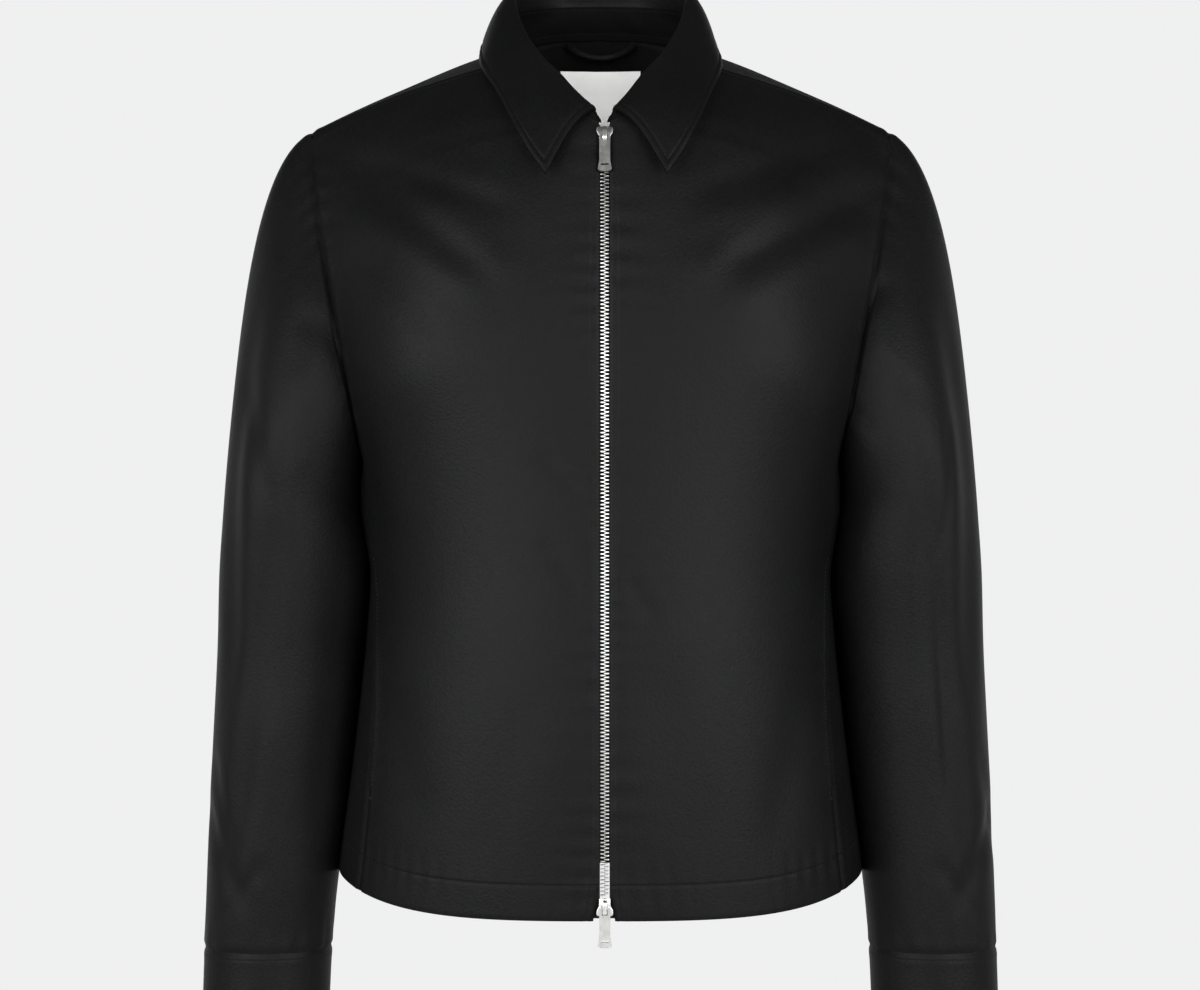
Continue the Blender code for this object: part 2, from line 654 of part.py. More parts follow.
def buildTape(side, word, tape):
    """A zip tape behind one front, on the flat of the front's own first column."""
    front, places, half = frontGrid(side)
    rows = front[places <= half.corner][:, :2]
    slope = (rows[:, 1] - rows[:, 0]) / (rows[:, 1, :1] - rows[:, 0, :1])
    middle = side * zipMiddle
    inner = rows[:, 0] + slope * (middle + tapeHalf - rows[:, 0, :1])
    outer = rows[:, 0] + slope * (middle + tapeReach - rows[:, 0, :1])
    grid = np.stack([inner, outer], axis=1)
    heights = grid[:, 0, 2]
    kept = np.concatenate([[tapeFoot], heights[(heights > tapeFoot + 5 * mm) & (heights < tapeTop - 5 * mm)], [tapeTop]])
    grid = np.stack([np.stack([np.interp(kept, heights, grid[:, c, i]) for i in range(3)], axis=1)
                     for c in range(2)], axis=1)
    normals = gridNormals(grid, (6, 0), (0, -1, 0))
    grid = grid - normals * (clothWall + layerGap)
    wall("zip_tape_" + word, mirrored(grid, side).reshape(-1, 3), mirrored(normals, side).reshape(-1, 3),
         gridFaces(len(grid), 2), tapeWall, tape)


def buildZip(tape, metal):
    buildTape(-1.0, "left", tape)
    buildTape(1.0, "right", tape)
    points, normals = zipLine(np.linspace(chainFoot, chainTop, 30))
    strip("zip_chain", points, normals, -chainHalf, chainHalf, 1.2 * mm, 4.2 * mm, metal)


def prism(name, outline, thickness, material, axis):
    """An outline given in two dimensions, drawn out along the third to both sides of the middle."""
    count = len(outline)
    points = []
    for offset in (-thickness / 2, thickness / 2):
        for a, b in outline:
            points.append((offset, a, b) if axis == "x" else (a, offset, b))
    faces = [tuple(range(count)), tuple(reversed(range(count, 2 * count)))]
    faces += [((i + 1) % count, i, i + count, (i + 1) % count + count) for i in range(count)]
    points = np.array(points)
    if signedVolume(points, faces) < 0:
        faces = [tuple(reversed(face)) for face in faces]
    return meshObject(name, points, faces, material, smooth=30)


def roundedBox(halfWide, low, high, corner, steps=3):
    """Outline of a rectangle with round corners, from low to high."""
    outline = []
    for cx, cz, start in ((halfWide - corner, high - corner, 0), (corner - halfWide, high - corner, 90),
                          (corner - halfWide, low + corner, 180), (halfWide - corner, low + corner, 270)):
        for step in range(steps + 1):
            angle = math.radians(start + 90 * step / steps)
            outline.append((cx + corner * math.cos(angle), cz + corner * math.sin(angle)))
    return outline


def combine(target, tool, operation):
    tool.hide_render = True
    tool.display_type = "WIRE"
    join = target.modifiers.new(operation.title(), "BOOLEAN")
    join.operation = operation
    join.object = tool
    join.solver = "EXACT"


def placeOnZip(pieces, height, rise):
    """Set pieces, modelled around the tab's axis, on the zip with the cloth's slope."""
    points, normals = zipLine(np.array([height]))
    normal = normals[0]
    spot = points[0] + normal * rise
    lean = math.atan2(normal[2], -normal[1])
    for piece in pieces:
        piece.location = spot
        piece.rotation_euler = (-lean, 0, 0)


def bridgeOutline(axisRise):
    """Side view of the bridge, an arch from foot to foot over the pull tab's pin."""
    outer, inner = [], []
    for step in range(7):
        angle = math.radians(180 * step / 6)
        c = math.copysign(abs(math.cos(angle))**0.6, math.cos(angle))
        s = math.sin(angle)**0.6
        outer.append((axisRise - bridgeRise * s, bridgeHalf * c))
        inner.append((axisRise - (bridgeRise - bridgeThick) * s, (bridgeHalf - bridgeThick) * c))
    foot = 0.5 * mm
    outer = [(axisRise + foot, outer[0][1])] + outer + [(axisRise + foot, outer[-1][1])]
    inner = [(axisRise + foot, inner[0][1])] + inner + [(axisRise + foot, inner[-1][1])]
    return outer + inner[::-1]


def buildSlider(word, metal):
    height = sliderHeights[word]
    axisRise = (bridgeRise - bridgeThick) / 2
    rise = layerGap + plateThick + axisRise
    plate = prism("slider_" + word, roundedBox(plateWidth / 2, -plateTall / 2, plateTall / 2, 2.4 * mm),
                  plateThick, metal, "y")
    for vertex in plate.data.vertices:
        vertex.co.y += axisRise + plateThick / 2
    core = prism("core_" + word, roundedBox(coreHalf, -plateTall / 2 + 0.6 * mm, plateTall / 2 - 0.6 * mm, 0.8 * mm),
                 coreDeep + 0.8 * mm, metal, "y")
    for vertex in core.data.vertices:
        vertex.co.y += axisRise + plateThick - 0.8 * mm + (coreDeep + 0.8 * mm) / 2
    bridge = prism("bridge_" + word, bridgeOutline(axisRise), bridgeWide, metal, "x")
    combine(plate, core, "UNION")
    combine(plate, bridge, "UNION")
    tab = buildPull(word, metal)
    placeOnZip([plate, core, bridge, tab], height, rise)


def buildPull(word, metal):
    """The pull tab hangs from its pin; its window passes round the bridge."""
    half = pinThick / 2
    low = -tabLong
    outline = [(tabHalf - 1.2 * mm, half), (tabHalf - 0.4 * mm, half - 0.4 * mm), (tabHalf - 0.2 * mm, -1.2 * mm),
               (tabHalf - 0.2 * mm, low + 8 * mm), (tabHalf + tabFlare, low + 1.2 * mm),
               (tabHalf + tabFlare - 1.0 * mm, low)]
    outline = outline + [(-x, z) for x, z in reversed(outline)]
    tab = prism("pull_" + word, outline, tabThick, metal, "y")
    window = prism("window_" + word, roundedBox(windowHalf, -half - windowLong, -half, 0.6 * mm, 2), 4 * mm, metal, "y")
    slot = prism("slot_" + word, roundedBox(slotHalf, low + slotFromEnd, low + slotFromEnd + slotTall, 0.7 * mm, 2),
                 4 * mm, metal, "y")
    for cutter in (window, slot):
        cutter.parent = tab
        combine(tab, cutter, "DIFFERENCE")
    return tab


def meshTree(thing):
    return BVHTree.FromPolygons([v.co.copy() for v in thing.data.vertices],
                                [tuple(p.vertices) for p in thing.data.polygons])


def insideOfBack(tree, x, z):
    """How far back the inside of the back lies at x and z."""
    hit = tree.ray_cast(Vector((x, 0.0, z)), Vector((0, 1, 0)))[0]
    return hit.y


def buildLabelAndLoop(back, white, cloth):
    tree = meshTree(back)
    xs = np.linspace(-labelHalf, labelHalf, 9)
    zs = np.linspace(labelFoot, labelTop, 7)
    face = layerGap + labelWall
    grid = np.array([[(x, insideOfBack(tree, x, z) - face, z) for x in xs] for z in zs])
    normals = np.zeros_like(grid)
    normals[..., 1] = -1.0
    wall("label", grid.reshape(-1, 3), normals.reshape(-1, 3), gridFaces(len(zs), len(xs)), labelWall, white)
    steps = np.linspace(-1, 1, 15)
    band = []
    for tall in (0.5, -0.5):
        line = []
        for t in steps:
            x = loopHalf * t
            z = loopTop - loopSag * (1 - t**2)**1.2 + loopTall * tall * (1 - 0.25 * (1 - t**2))
            end = insideOfBack(tree, x, loopTop + loopTall / 2) - layerGap - 1.6 * mm
            line.append((x, end - loopStandOff * (1 - t**2), z))
        band.append(line)
    grid = np.array(band)
    normals = gridNormals(grid, (0, 7), (0, -1, 0))
    wall("hanger_loop", grid.reshape(-1, 3), normals.reshape(-1, 3), gridFaces(2, len(steps)), 1.2 * mm, cloth)


def buildFacings(cloth, back):
    """Facings behind the pocket mouths, made from the body's own points, moved in to lie on its inside."""
    half = Half(chestSections, chestCorner, True)
    behindHalf = Half(backSections, backCorner, False)
    places = np.linspace(0, half.pit, 60)
    heights = through([ring[:3] for ring in bodyRings], places)[:, 1]
    rows = []
    levels = placesFor(ringSteps)
    inside = (np.interp(levels, places, heights) > pocketFoot) & (np.interp(levels, places, heights) < pocketTop)
    ends = np.interp([pocketFoot, pocketTop], heights, places)
    for place in np.concatenate([ends[:1], levels[inside], ends[1:]]):
        seam = half.seamShare([place])[0]
        ring = np.linspace(0.3, 1.4, 120)
        full = np.full(len(ring), place)
        before = half.points(full, np.minimum(ring, 1.0))
        behind = behindHalf.points(full, np.clip(2 - ring, 0, 1))
        path = np.where((ring < 1)[:, None], before, behind)
        walked = np.concatenate([[0], np.cumsum(np.linalg.norm(np.diff(path, axis=0), axis=1))])
        at = np.interp(seam, ring, walked)
        wanted = np.linspace(at - facingAhead, at + facingBehind, 5)
        rows.append(np.stack([np.interp(wanted, walked, path[:, i]) for i in range(3)], axis=1))
    for side, word in ((-1.0, "left"), (1.0, "right")):
        grid = mirrored(np.array(rows), side)
        normals = gridNormals(grid, (3, 2), (side, -0.5, 0))
        trees = [meshTree(back), meshTree(bpy.data.objects["front_" + word])]
        for spot in np.ndindex(grid.shape[:2]):
            start = Vector(grid[spot] - normals[spot] * 20 * mm)
            nearest = min(tree.ray_cast(start, Vector(normals[spot]))[3] or 1.0 for tree in trees)
            grid[spot] = np.array(start) + normals[spot] * (nearest - layerGap - 0.2 * mm)
        wall("pocket_facing_" + word, grid.reshape(-1, 3), normals.reshape(-1, 3), gridFaces(*grid.shape[:2]),
             1.2 * mm, cloth)


def build():
    clearScene()
    cloth = paint("black_twill", (0.012, 0.012, 0.014), 0.72)
    tape = paint("zip_tape", (0.010, 0.010, 0.012), 0.85)
    metal = paint("zip_metal", (0.62, 0.62, 0.63), 0.28, 1.0)
    white = paint("label_white", (0.80, 0.80, 0.78), 0.80)
    back = buildBodyAndSleeves(cloth)
    buildCollar(cloth)
    buildZip(tape, metal)
    for word in sliderHeights:
        buildSlider(word, metal)
    buildLabelAndLoop(back, white, cloth)
    buildFacings(cloth, back)


build()
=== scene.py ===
# Looks of a zipped shirt jacket in black cotton twill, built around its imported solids.
import math
import bpy
import numpy as np
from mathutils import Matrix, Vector
from mathutils.bvhtree import BVHTree


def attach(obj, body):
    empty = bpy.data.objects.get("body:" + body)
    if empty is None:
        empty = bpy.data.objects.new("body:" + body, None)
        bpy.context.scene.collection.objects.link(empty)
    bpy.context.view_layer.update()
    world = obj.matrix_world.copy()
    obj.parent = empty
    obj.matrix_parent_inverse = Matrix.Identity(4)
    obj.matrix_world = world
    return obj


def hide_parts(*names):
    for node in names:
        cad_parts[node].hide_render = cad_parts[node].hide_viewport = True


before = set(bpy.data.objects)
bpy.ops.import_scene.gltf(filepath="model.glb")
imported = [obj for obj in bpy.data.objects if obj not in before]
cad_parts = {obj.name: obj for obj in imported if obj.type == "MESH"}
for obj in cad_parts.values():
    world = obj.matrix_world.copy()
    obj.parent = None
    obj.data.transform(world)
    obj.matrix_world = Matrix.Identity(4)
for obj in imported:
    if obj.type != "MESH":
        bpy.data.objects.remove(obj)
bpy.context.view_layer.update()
mm = 0.001
print("stage: frame loaded,", len(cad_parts), "nodes")

# camera and studio
cameraSettings = {
    "x": -0.0004, "distance": 2.1, "height": -0.329, "widthAtMiddle": 0.912, "sensor": 36.0,
    "clipStart": 0.05,
}
lightSettings = {
    # a pale room with a darker ceiling, which starts at these rises of the view
    "world": (0.868, 0.870, 0.872), "ceiling": (0.10, 0.10, 0.10), "ceilingFrom": 0.20, "ceilingTo": 0.40,
    "aim": (0.0, -0.1, -0.34),
    # name, place, size, power
    "boxes": (("left_box", (-1.43, -1.90, -0.04), (1.8, 0.9), 108.0),
              ("right_box", (1.43, -1.90, -0.04), (1.8, 0.9), 104.0)),
    # a narrow lamp that reaches the label inside the neck; its cone in degrees
    "lamp": (0.0, -1.9, 0.10), "lampAim": (0.0, 0.08, -0.012), "lampCone": 2.6, "lampPower": 84.0,
    "lampBlend": 0.5, "lampRadius": 0.03,
}


def addObject(name, data):
    made = bpy.data.objects.new(name, data)
    bpy.context.scene.collection.objects.link(made)
    return made


def makeCamera():
    s = cameraSettings
    data = bpy.data.cameras.new("camera")
    data.sensor_width = s["sensor"]
    data.lens = s["sensor"] * s["distance"] / s["widthAtMiddle"]
    data.clip_start = s["clipStart"]
    camera = addObject("camera", data)
    camera.location = (s["x"], -s["distance"], s["height"])
    camera.rotation_euler = (math.pi / 2, 0, 0)
    bpy.context.scene.camera = camera


def makeLight(name, kind, place, aim, power):
    data = bpy.data.lights.new(name, kind)
    data.energy = power
    light = addObject(name, data)
    light.location = place
    light.rotation_euler = (Vector(aim) - Vector(place)).to_track_quat("-Z", "Y").to_euler()
    return data


def makeWorld():
    s = lightSettings
    world = bpy.data.worlds.new("studio")
    bpy.context.scene.world = world
    world.use_nodes = True
    tree = world.node_tree
    place = tree.nodes.new("ShaderNodeTexCoord")
    split = tree.nodes.new("ShaderNodeSeparateXYZ")
    ramp = tree.nodes.new("ShaderNodeValToRGB")
    tree.links.new(place.outputs["Generated"], split.inputs[0])
    tree.links.new(split.outputs["Z"], ramp.inputs[0])
    tree.links.new(ramp.outputs[0], tree.nodes["Background"].inputs["Color"])
    stops = ((s["ceilingFrom"], s["world"]), (s["ceilingTo"], s["ceiling"]))
    for element, (height, colour) in zip(ramp.color_ramp.elements, stops):
        element.position = height
        element.color = (*colour, 1)


def makeLights():
    s = lightSettings
    for name, place, size, power in s["boxes"]:
        box = makeLight(name, "AREA", place, s["aim"], power)
        box.shape = "RECTANGLE"
        box.size, box.size_y = size
    lamp = makeLight("neck_lamp", "SPOT", s["lamp"], s["lampAim"], s["lampPower"])
    lamp.spot_size = math.radians(s["lampCone"])
    lamp.spot_blend = s["lampBlend"]
    lamp.shadow_soft_size = s["lampRadius"]


makeCamera()
makeWorld()
makeLights()
bpy.context.scene.view_settings.view_transform = "Standard"
bpy.context.scene.view_settings.look = "None"

# shader helpers


class Wire:
    # A value socket with arithmetic, each operation adding its Math node.
    def __init__(self, finish, socket):
        self.finish = finish
        self.socket = socket

    def maths(self, operation, *values):
        return self.finish.node("ShaderNodeMath", {"operation": operation}, dict(enumerate(values)))

    def __add__(self, other):
        return self.maths("ADD", self, other)

    def __radd__(self, other):
        return self.maths("ADD", other, self)

    def __sub__(self, other):
        return self.maths("SUBTRACT", self, other)

    def __rsub__(self, other):
        return self.maths("SUBTRACT", other, self)

    def __mul__(self, other):
        return self.maths("MULTIPLY", self, other)

    def __rmul__(self, other):
        return self.maths("MULTIPLY", other, self)

    def fract(self):
        return self.maths("FRACT", self)

    def size(self):
        return self.maths("ABSOLUTE", self)

    def wave(self, length):
        # From 0 to 1 and back once in each length.
        return self.maths("SINE", self * (2 * math.pi / length)) * 0.5 + 0.5


class Finish:
    # A material; node() adds any node, with its settings first and then its socket values or links.
    def __init__(self, name, **constants):
        self.material = bpy.data.materials.new(name)
        self.material.use_nodes = True
        self.tree = self.material.node_tree
        self.shader = self.tree.nodes["Principled BSDF"]
        for key, value in constants.items():
            self.shader.inputs[key.replace("_", " ")].default_value = value

    def plug(self, socket, value):
        if isinstance(value, Wire):
            self.tree.links.new(value.socket, socket)
        else:
            socket.default_value = value

    def node(self, kind, settings, inputs):
        made = self.tree.nodes.new(kind)
        for key, value in settings.items():
            setattr(made, key, value)
        for key, value in inputs.items():
            self.plug(made.inputs[key], value)
        return Wire(self, made.outputs[0])

    def place(self, kind="Object"):
        made = self.tree.nodes.new("ShaderNodeTexCoord")
        return Wire(self, made.outputs[kind])

    def parts(self, vector):
        made = self.tree.nodes.new("ShaderNodeSeparateXYZ")
        self.tree.links.new(vector.socket, made.inputs[0])
        return [Wire(self, made.outputs[i]) for i in range(3)]

    def joined(self, *values):
        return self.node("ShaderNodeCombineXYZ", {}, dict(enumerate(values)))

    def noise(self, vector, scale, detail=2.0, roughness=0.5):
        return self.node("ShaderNodeTexNoise", {"noise_dimensions": "3D"},
                         {"Vector": vector, "Scale": scale, "Detail": detail, "Roughness": roughness})

    def mix(self, factor, first, second):
        made = self.tree.nodes.new("ShaderNodeMix")
        made.data_type = "RGBA"
        self.plug(made.inputs["Factor"], factor)
        self.plug(made.inputs[6], (*first, 1))
        self.plug(made.inputs[7], (*second, 1))
        return Wire(self, made.outputs[2])

    def bump(self, height, distance, strength):
        inputs = {"Height": height, "Distance": distance, "Strength": strength}
        return self.node("ShaderNodeBump", {}, inputs)

    def set(self, key, value):
        self.plug(self.shader.inputs[key], value)


def twill(name, settings):
    # Satin-faced cotton twill: fine diagonal ribs, slubs along them and a soft drift of tone.
    s = settings
    finish = Finish(name, Sheen_Weight=s["sheen"], Sheen_Roughness=s["sheenRoughness"],
                    Sheen_Tint=(*s["sheenTint"], 1), Specular_IOR_Level=s["specular"])
    u, v, w = finish.parts(finish.place(s["threads"]))
    if s["threads"] == "Object":
        v = w
    spot = finish.place()
    slope = u * s["lean"] + v
    ribs = slope.wave(s["rib"])
    across = (u - v * s["lean"]).wave(s["rib"] * s["crossRib"])
    slub = finish.noise(finish.joined(slope * s["slubAcross"], (u - v) * s["slubAlong"]), 1.0, 2.0, 0.6)
    drift = finish.noise(spot, s["driftScale"], 3.0, 0.55)
    grain = finish.noise(spot, s["grainScale"], 2.0, 0.7)
    height = grain + ribs * s["ribRelief"] + across * s["crossRelief"] + slub * s["slubRelief"]
    tone = (drift - 0.5) * s["drift"] + (grain - 0.5) * s["grain"] + (slub - 0.5) * s["slub"] + 0.5
    finish.set("Base Color", finish.mix(tone, s["dark"], s["light"]))
    finish.set("Roughness", (drift - 0.5) * s["driftRough"] + (slub - 0.5) * s["slubRough"] + s["roughness"])
    finish.set("Normal", finish.bump(height, s["relief"], s["strength"]))
    return finish.material


twillSettings = {
    "dark": (0.0011, 0.0011, 0.0011), "light": (0.0043, 0.0044, 0.0046), "threads": "UV",
    "roughness": 0.46, "driftRough": 0.12, "slubRough": 0.10, "specular": 0.042,
    "sheen": 0.002, "sheenRoughness": 0.35, "sheenTint": (0.75, 0.86, 1.0),
    # the ribs' width, their lean and the cross ribs' width beside theirs
    "rib": 0.00085, "lean": 1.6, "crossRib": 1.7,
    "slubAcross": 900.0, "slubAlong": 60.0, "driftScale": 14.0, "grainScale": 450.0,
    # how far each of them tints the cloth, and how far it stands up
    "drift": 0.5, "grain": 0.7, "slub": 0.5,
    "ribRelief": 0.07, "crossRelief": 0.028, "slubRelief": 0.3, "relief": 0.0004, "strength": 0.8,
}
# a darker, less shiny copy of the twill: painted shade for the turned edges and the inside of the neck
shadedTwillSettings = {
    **twillSettings, "light": (0.0030, 0.0030, 0.0031), "roughness": 0.55, "specular": 0.010, "sheen": 0.0,
}
# the thread's lighter tone is partly its own colour and partly painted highlight, for the light that catches
# the stitched ridges
threadSettings = {
    **twillSettings, "light": (0.0100, 0.0100, 0.0104), "threads": "Object", "rib": 0.0004,
    "roughness": 0.50, "specular": 0.045, "grainScale": 1500.0, "relief": 0.00012,
}
clothFinish = twill("black_twill", twillSettings)
paintedShadeFinish = twill("black_twill_painted_shade", shadedTwillSettings)
threadFinish = twill("black_thread", threadSettings)

tapeSettings = {
    "dark": (0.002, 0.002, 0.0022), "light": (0.008, 0.008, 0.009), "specular": 0.12, "roughness": 0.75,
    "zigzags": 700.0, "rows": 1300.0, "zigzagDepth": 1.2, "grainScale": 900.0,
    "relief": 0.00012, "strength": 0.6,
}


def tapeWeave():
    # Woven zip tape: a fine herringbone, matt black.
    s = tapeSettings
    finish = Finish("zip_tape_weave", Specular_IOR_Level=s["specular"])
    x, _, z = finish.parts(finish.place())
    zigzag = ((x * s["zigzags"]).fract() - 0.5).size()
    ribs = (z * s["rows"] + zigzag * s["zigzagDepth"]).wave(1.0)
    grain = finish.noise(finish.place(), s["grainScale"])
    finish.set("Base Color", finish.mix(ribs * 0.6 + grain * 0.4, s["dark"], s["light"]))
    finish.set("Roughness", s["roughness"] + grain * 0.1)
    finish.set("Normal", finish.bump(ribs + grain * 0.5, s["relief"], s["strength"]))
    return finish.material


silverSettings = {
    "dark": (0.34, 0.34, 0.335), "light": (0.55, 0.545, 0.53), "roughness": 0.20,
    "rubAcross": 2600.0, "rubAlong": 240.0, "patchScale": 260.0, "relief": 0.00003, "strength": 0.5,
}


def silver():
    # Plated zip metal: bright, with fine rub marks and faint dulling in patches.
    s = silverSettings
    finish = Finish("silver_zip_metal", Metallic=1.0)
    spot = finish.place()
    x, y, z = finish.parts(spot)
    drawn = finish.joined(x * s["rubAcross"], y * s["rubAcross"], z * s["rubAlong"])
    rub = finish.noise(drawn, 1.0, 2.0, 0.6)
    patch = finish.noise(spot, s["patchScale"], 3.0, 0.6)
    finish.set("Base Color", finish.mix(rub * 0.45 + patch * 0.55, s["dark"], s["light"]))
    finish.set("Roughness", s["roughness"] + patch * 0.16 + rub * 0.08)
    finish.set("Normal", finish.bump(rub, s["relief"], s["strength"]))
    return finish.material


weaveSettings = {
    "dark": (0.88, 0.88, 0.865), "light": (0.99, 0.99, 0.975),
    "specular": 0.2, "sheen": 0.05, "roughness": 0.62,
    "rib": 0.0005, "thread": 0.0007, "cloudScale": 160.0, "relief": 0.00010, "strength": 0.5,
}


def labelWeave():
    # White woven label: fine cross ribs and a little shade in the weave; no lettering.
    s = weaveSettings
    finish = Finish("white_label_weave", Specular_IOR_Level=s["specular"], Sheen_Weight=s["sheen"])
    u, v, _ = finish.parts(finish.place("UV"))
    ribs = v.wave(s["rib"])
    threads = u.wave(s["thread"])
    cloud = finish.noise(finish.place(), s["cloudScale"], 3.0)
    finish.set("Base Color", finish.mix(ribs * 0.35 + threads * 0.25 + cloud * 0.4, s["dark"], s["light"]))
    finish.set("Roughness", s["roughness"] + cloud * 0.15)
    finish.set("Normal", finish.bump(ribs * 0.6 + threads * 0.4, s["relief"], s["strength"]))
    return finish.material


tapeFinish = tapeWeave()
metalFinish = silver()
labelFinish = labelWeave()
print("stage: finishes made")

# the jacket's own sections, as in its solids
zipMiddle = 3.0 * mm
# how far from the middle that shift of the zip dies out
shiftReach = 0.050
# z at front, side and back, half width, front, back, gap to the zip, side seam
bodyRings = (
    (-0.6325, -0.6115, -0.6250, 0.1975, 0.1350, 0.1260, 0.0078, 0.69),
    (-0.6080, -0.5905, -0.6010, 0.1948, 0.1365, 0.1255, 0.0046, 0.69),
    (-0.5600, -0.5515, -0.5570, 0.1890, 0.1380, 0.1225, 0.0040, 0.70),
    (-0.5050, -0.5025, -0.5030, 0.1825, 0.1380, 0.1180, 0.0040, 0.72),
    (-0.4450, -0.4450, -0.4450, 0.1764, 0.1365, 0.1140, 0.0040, 0.77),
    (-0.3870, -0.3870, -0.3870, 0.1714, 0.1345, 0.1130, 0.0040, 0.84),
    (-0.3450, -0.3450, -0.3450, 0.1748, 0.1335, 0.1160, 0.0040, 0.92),
    (-0.3050, -0.3050, -0.3050, 0.1785, 0.1328, 0.1195, 0.0040, 1.00),
)

# Sections over the chest and the shoulder. Each runs from the zip or the neck (in) to the armhole (out).
# fall is the slope down in degrees at each end, sweep the turn at the armhole from sideways towards the
# back, and swell how far the section rounds out.
# in x y z, out x y z, fall in, fall out, sweep, swell
chestSections = (
    (0.0040, -0.1325, -0.2700, 0.1803, -0.0350, -0.2935, 0, 3, 82, 0.62),
    (0.0040, -0.1310, -0.2180, 0.1850, -0.0575, -0.2600, 2, 8, 68, 0.57),
    (0.0040, -0.1262, -0.1600, 0.1945, -0.0610, -0.2090, 4, 15, 54, 0.52),
    (0.0040, -0.1180, -0.1050, 0.2042, -0.0520, -0.1600, 6, 22, 41, 0.47),
    (0.0040, -0.1065, -0.0580, 0.2110, -0.0385, -0.1220, 8, 26, 30, 0.43),
    (0.0360, -0.0935, -0.0435, 0.2155, -0.0270, -0.0940, 12, 29, 21, 0.41),
    (0.0610, -0.0660, -0.0220, 0.2178, -0.0175, -0.0740, 14, 29, 12, 0.39),
    (0.0738, -0.0360, -0.0065, 0.2190, -0.0090, -0.0568, 16, 27, 5, 0.38),
)
chestCorner = 4
backSections = (
    (0.0000, 0.1220, -0.2700, 0.1803, 0.0370, -0.2935, 0, 3, -82, 0.62),
    (0.0000, 0.1250, -0.2150, 0.1855, 0.0630, -0.2580, 2, 8, -68, 0.57),
    (0.0000, 0.1250, -0.1400, 0.1970, 0.0745, -0.1980, 4, 16, -54, 0.50),
    (0.0000, 0.1165, -0.0700, 0.2065, 0.0680, -0.1480, 6, 22, -42, 0.46),
    (0.0000, 0.1010, -0.0120, 0.2130, 0.0550, -0.1080, 7, 26, -30, 0.43),
    (0.0000, 0.0760, 0.0310, 0.2165, 0.0410, -0.0820, 8, 27, -20, 0.41),
    (0.0400, 0.0690, 0.0280, 0.2185, 0.0270, -0.0650, 12, 28, -12, 0.39),
    (0.0665, 0.0430, 0.0180, 0.2193, 0.0160, -0.0560, 15, 27, -5, 0.38),
    (0.0755, 0.0060, 0.0060, 0.2195, 0.0050, -0.0525, 17, 27, 0, 0.38),
    (0.0738, -0.0360, -0.0065, 0.2190, -0.0090, -0.0568, 16, 27, 5, 0.38),
)
backCorner = 5
ringSwell = 0.64
# where the rows lie close together for the hem's stitches: from, to, count
hemRows = (0.97, 1.18, 16)
sideRise = 1.9
# z, middle x and y, half width and depth
sleeveSections = (
    (-0.3400, 0.2328, 0.0030, 0.0533, 0.0760),
    (-0.3870, 0.2310, 0.0040, 0.0584, 0.0730),
    (-0.4450, 0.2342, 0.0040, 0.0567, 0.0680),
    (-0.5050, 0.2385, 0.0000, 0.0548, 0.0630),
    (-0.5600, 0.2430, -0.0040, 0.0527, 0.0575),
    (-0.6200, 0.2479, -0.0100, 0.0494, 0.0510),
    (-0.6683, 0.2505, -0.0140, 0.0480, 0.0455),
    (-0.7300, 0.2525, -0.0180, 0.0475, 0.0425),
)
shoulderReach = 0.165
pitReach = 0.030
capDrop = 0.300
capForward = 0.060
# the solids' own folds: from around, z to around, z, width, depth
frontFolds = (
    (0.178, -0.128, 0.085, -0.215, 0.015, 0.0022),
    (0.150, -0.110, 0.060, -0.175, 0.014, -0.0016),
    (0.150, -0.330, 0.128, -0.470, 0.020, 0.0022),
)
sleeveFolds = (
    (-0.030, -0.190, -0.045, -0.480, 0.013, 0.0035),
    (-0.085, -0.290, -0.060, -0.600, 0.013, 0.0030),
    (0.040, -0.210, 0.055, -0.520, 0.014, 0.0035),
    (-0.012, -0.560, -0.080, -0.640, 0.010, 0.0022),
)
# place on the neck, roll x y z, edge x y z, stand, bow, shift
collarSections = (
    (0.000, 0.0000, 0.0840, 0.0680, 0.0000, 0.1000, 0.0190, 0.73, 0.004, 0.0000),
    (0.170, 0.0330, 0.0770, 0.0672, 0.0400, 0.0955, 0.0190, 0.72, 0.004, 0.0000),
    (0.310, 0.0560, 0.0560, 0.0645, 0.0735, 0.0730, 0.0195, 0.68, 0.004, -0.0008),
    (0.420, 0.0665, 0.0280, 0.0590, 0.0885, 0.0375, 0.0160, 0.62, 0.004, -0.0015),
    (0.530, 0.0675, -0.0020, 0.0495, 0.0912, -0.0010, 0.0068, 0.58, 0.003, -0.0010),
    (0.640, 0.0600, -0.0300, 0.0238, 0.0900, -0.0480, -0.0110, 0.54, 0.004, 0.0008),
    (0.740, 0.0465, -0.0550, -0.0008, 0.0786, -0.0835, -0.0345, 0.50, 0.005, 0.0028),
    (0.840, 0.0315, -0.0748, -0.0188, 0.0660, -0.1110, -0.0615, 0.46, 0.007, 0.0035),
    (0.930, 0.0182, -0.0930, -0.0368, 0.0550, -0.1220, -0.0820, 0.40, 0.007, 0.0038),
    (1.000, 0.0072, -0.1085, -0.0492, 0.0435, -0.1290, -0.0990, 0.34, 0.002, 0.0042),
)
rollRadius = 3.0 * mm
rollFlare = 0.35
footRise = 0.8 * mm
pocketTop = -0.380
pocketFoot = -0.548
facingAhead = 0.010
facingBehind = 0.014
labelHalf = 0.0315
labelTop = 0.0055
labelFoot = -0.0425
loopHalf = 0.0255
loopTall = 0.0055
loopSag = 0.0120
loopStandOff = 0.0080
loopTop = 0.0245
layerGap = 0.3 * mm
# how fast a fold deepens from its ends, and its share of depth at the very end
foldGrowth = 3.2
foldEnd = 0.35
# the least share of its cut's rectangle that a piece is reckoned to cover
leastShare = 0.31


def unit(vectors):
    return vectors / np.maximum(np.linalg.norm(vectors, axis=-1, keepdims=True), 1e-12)


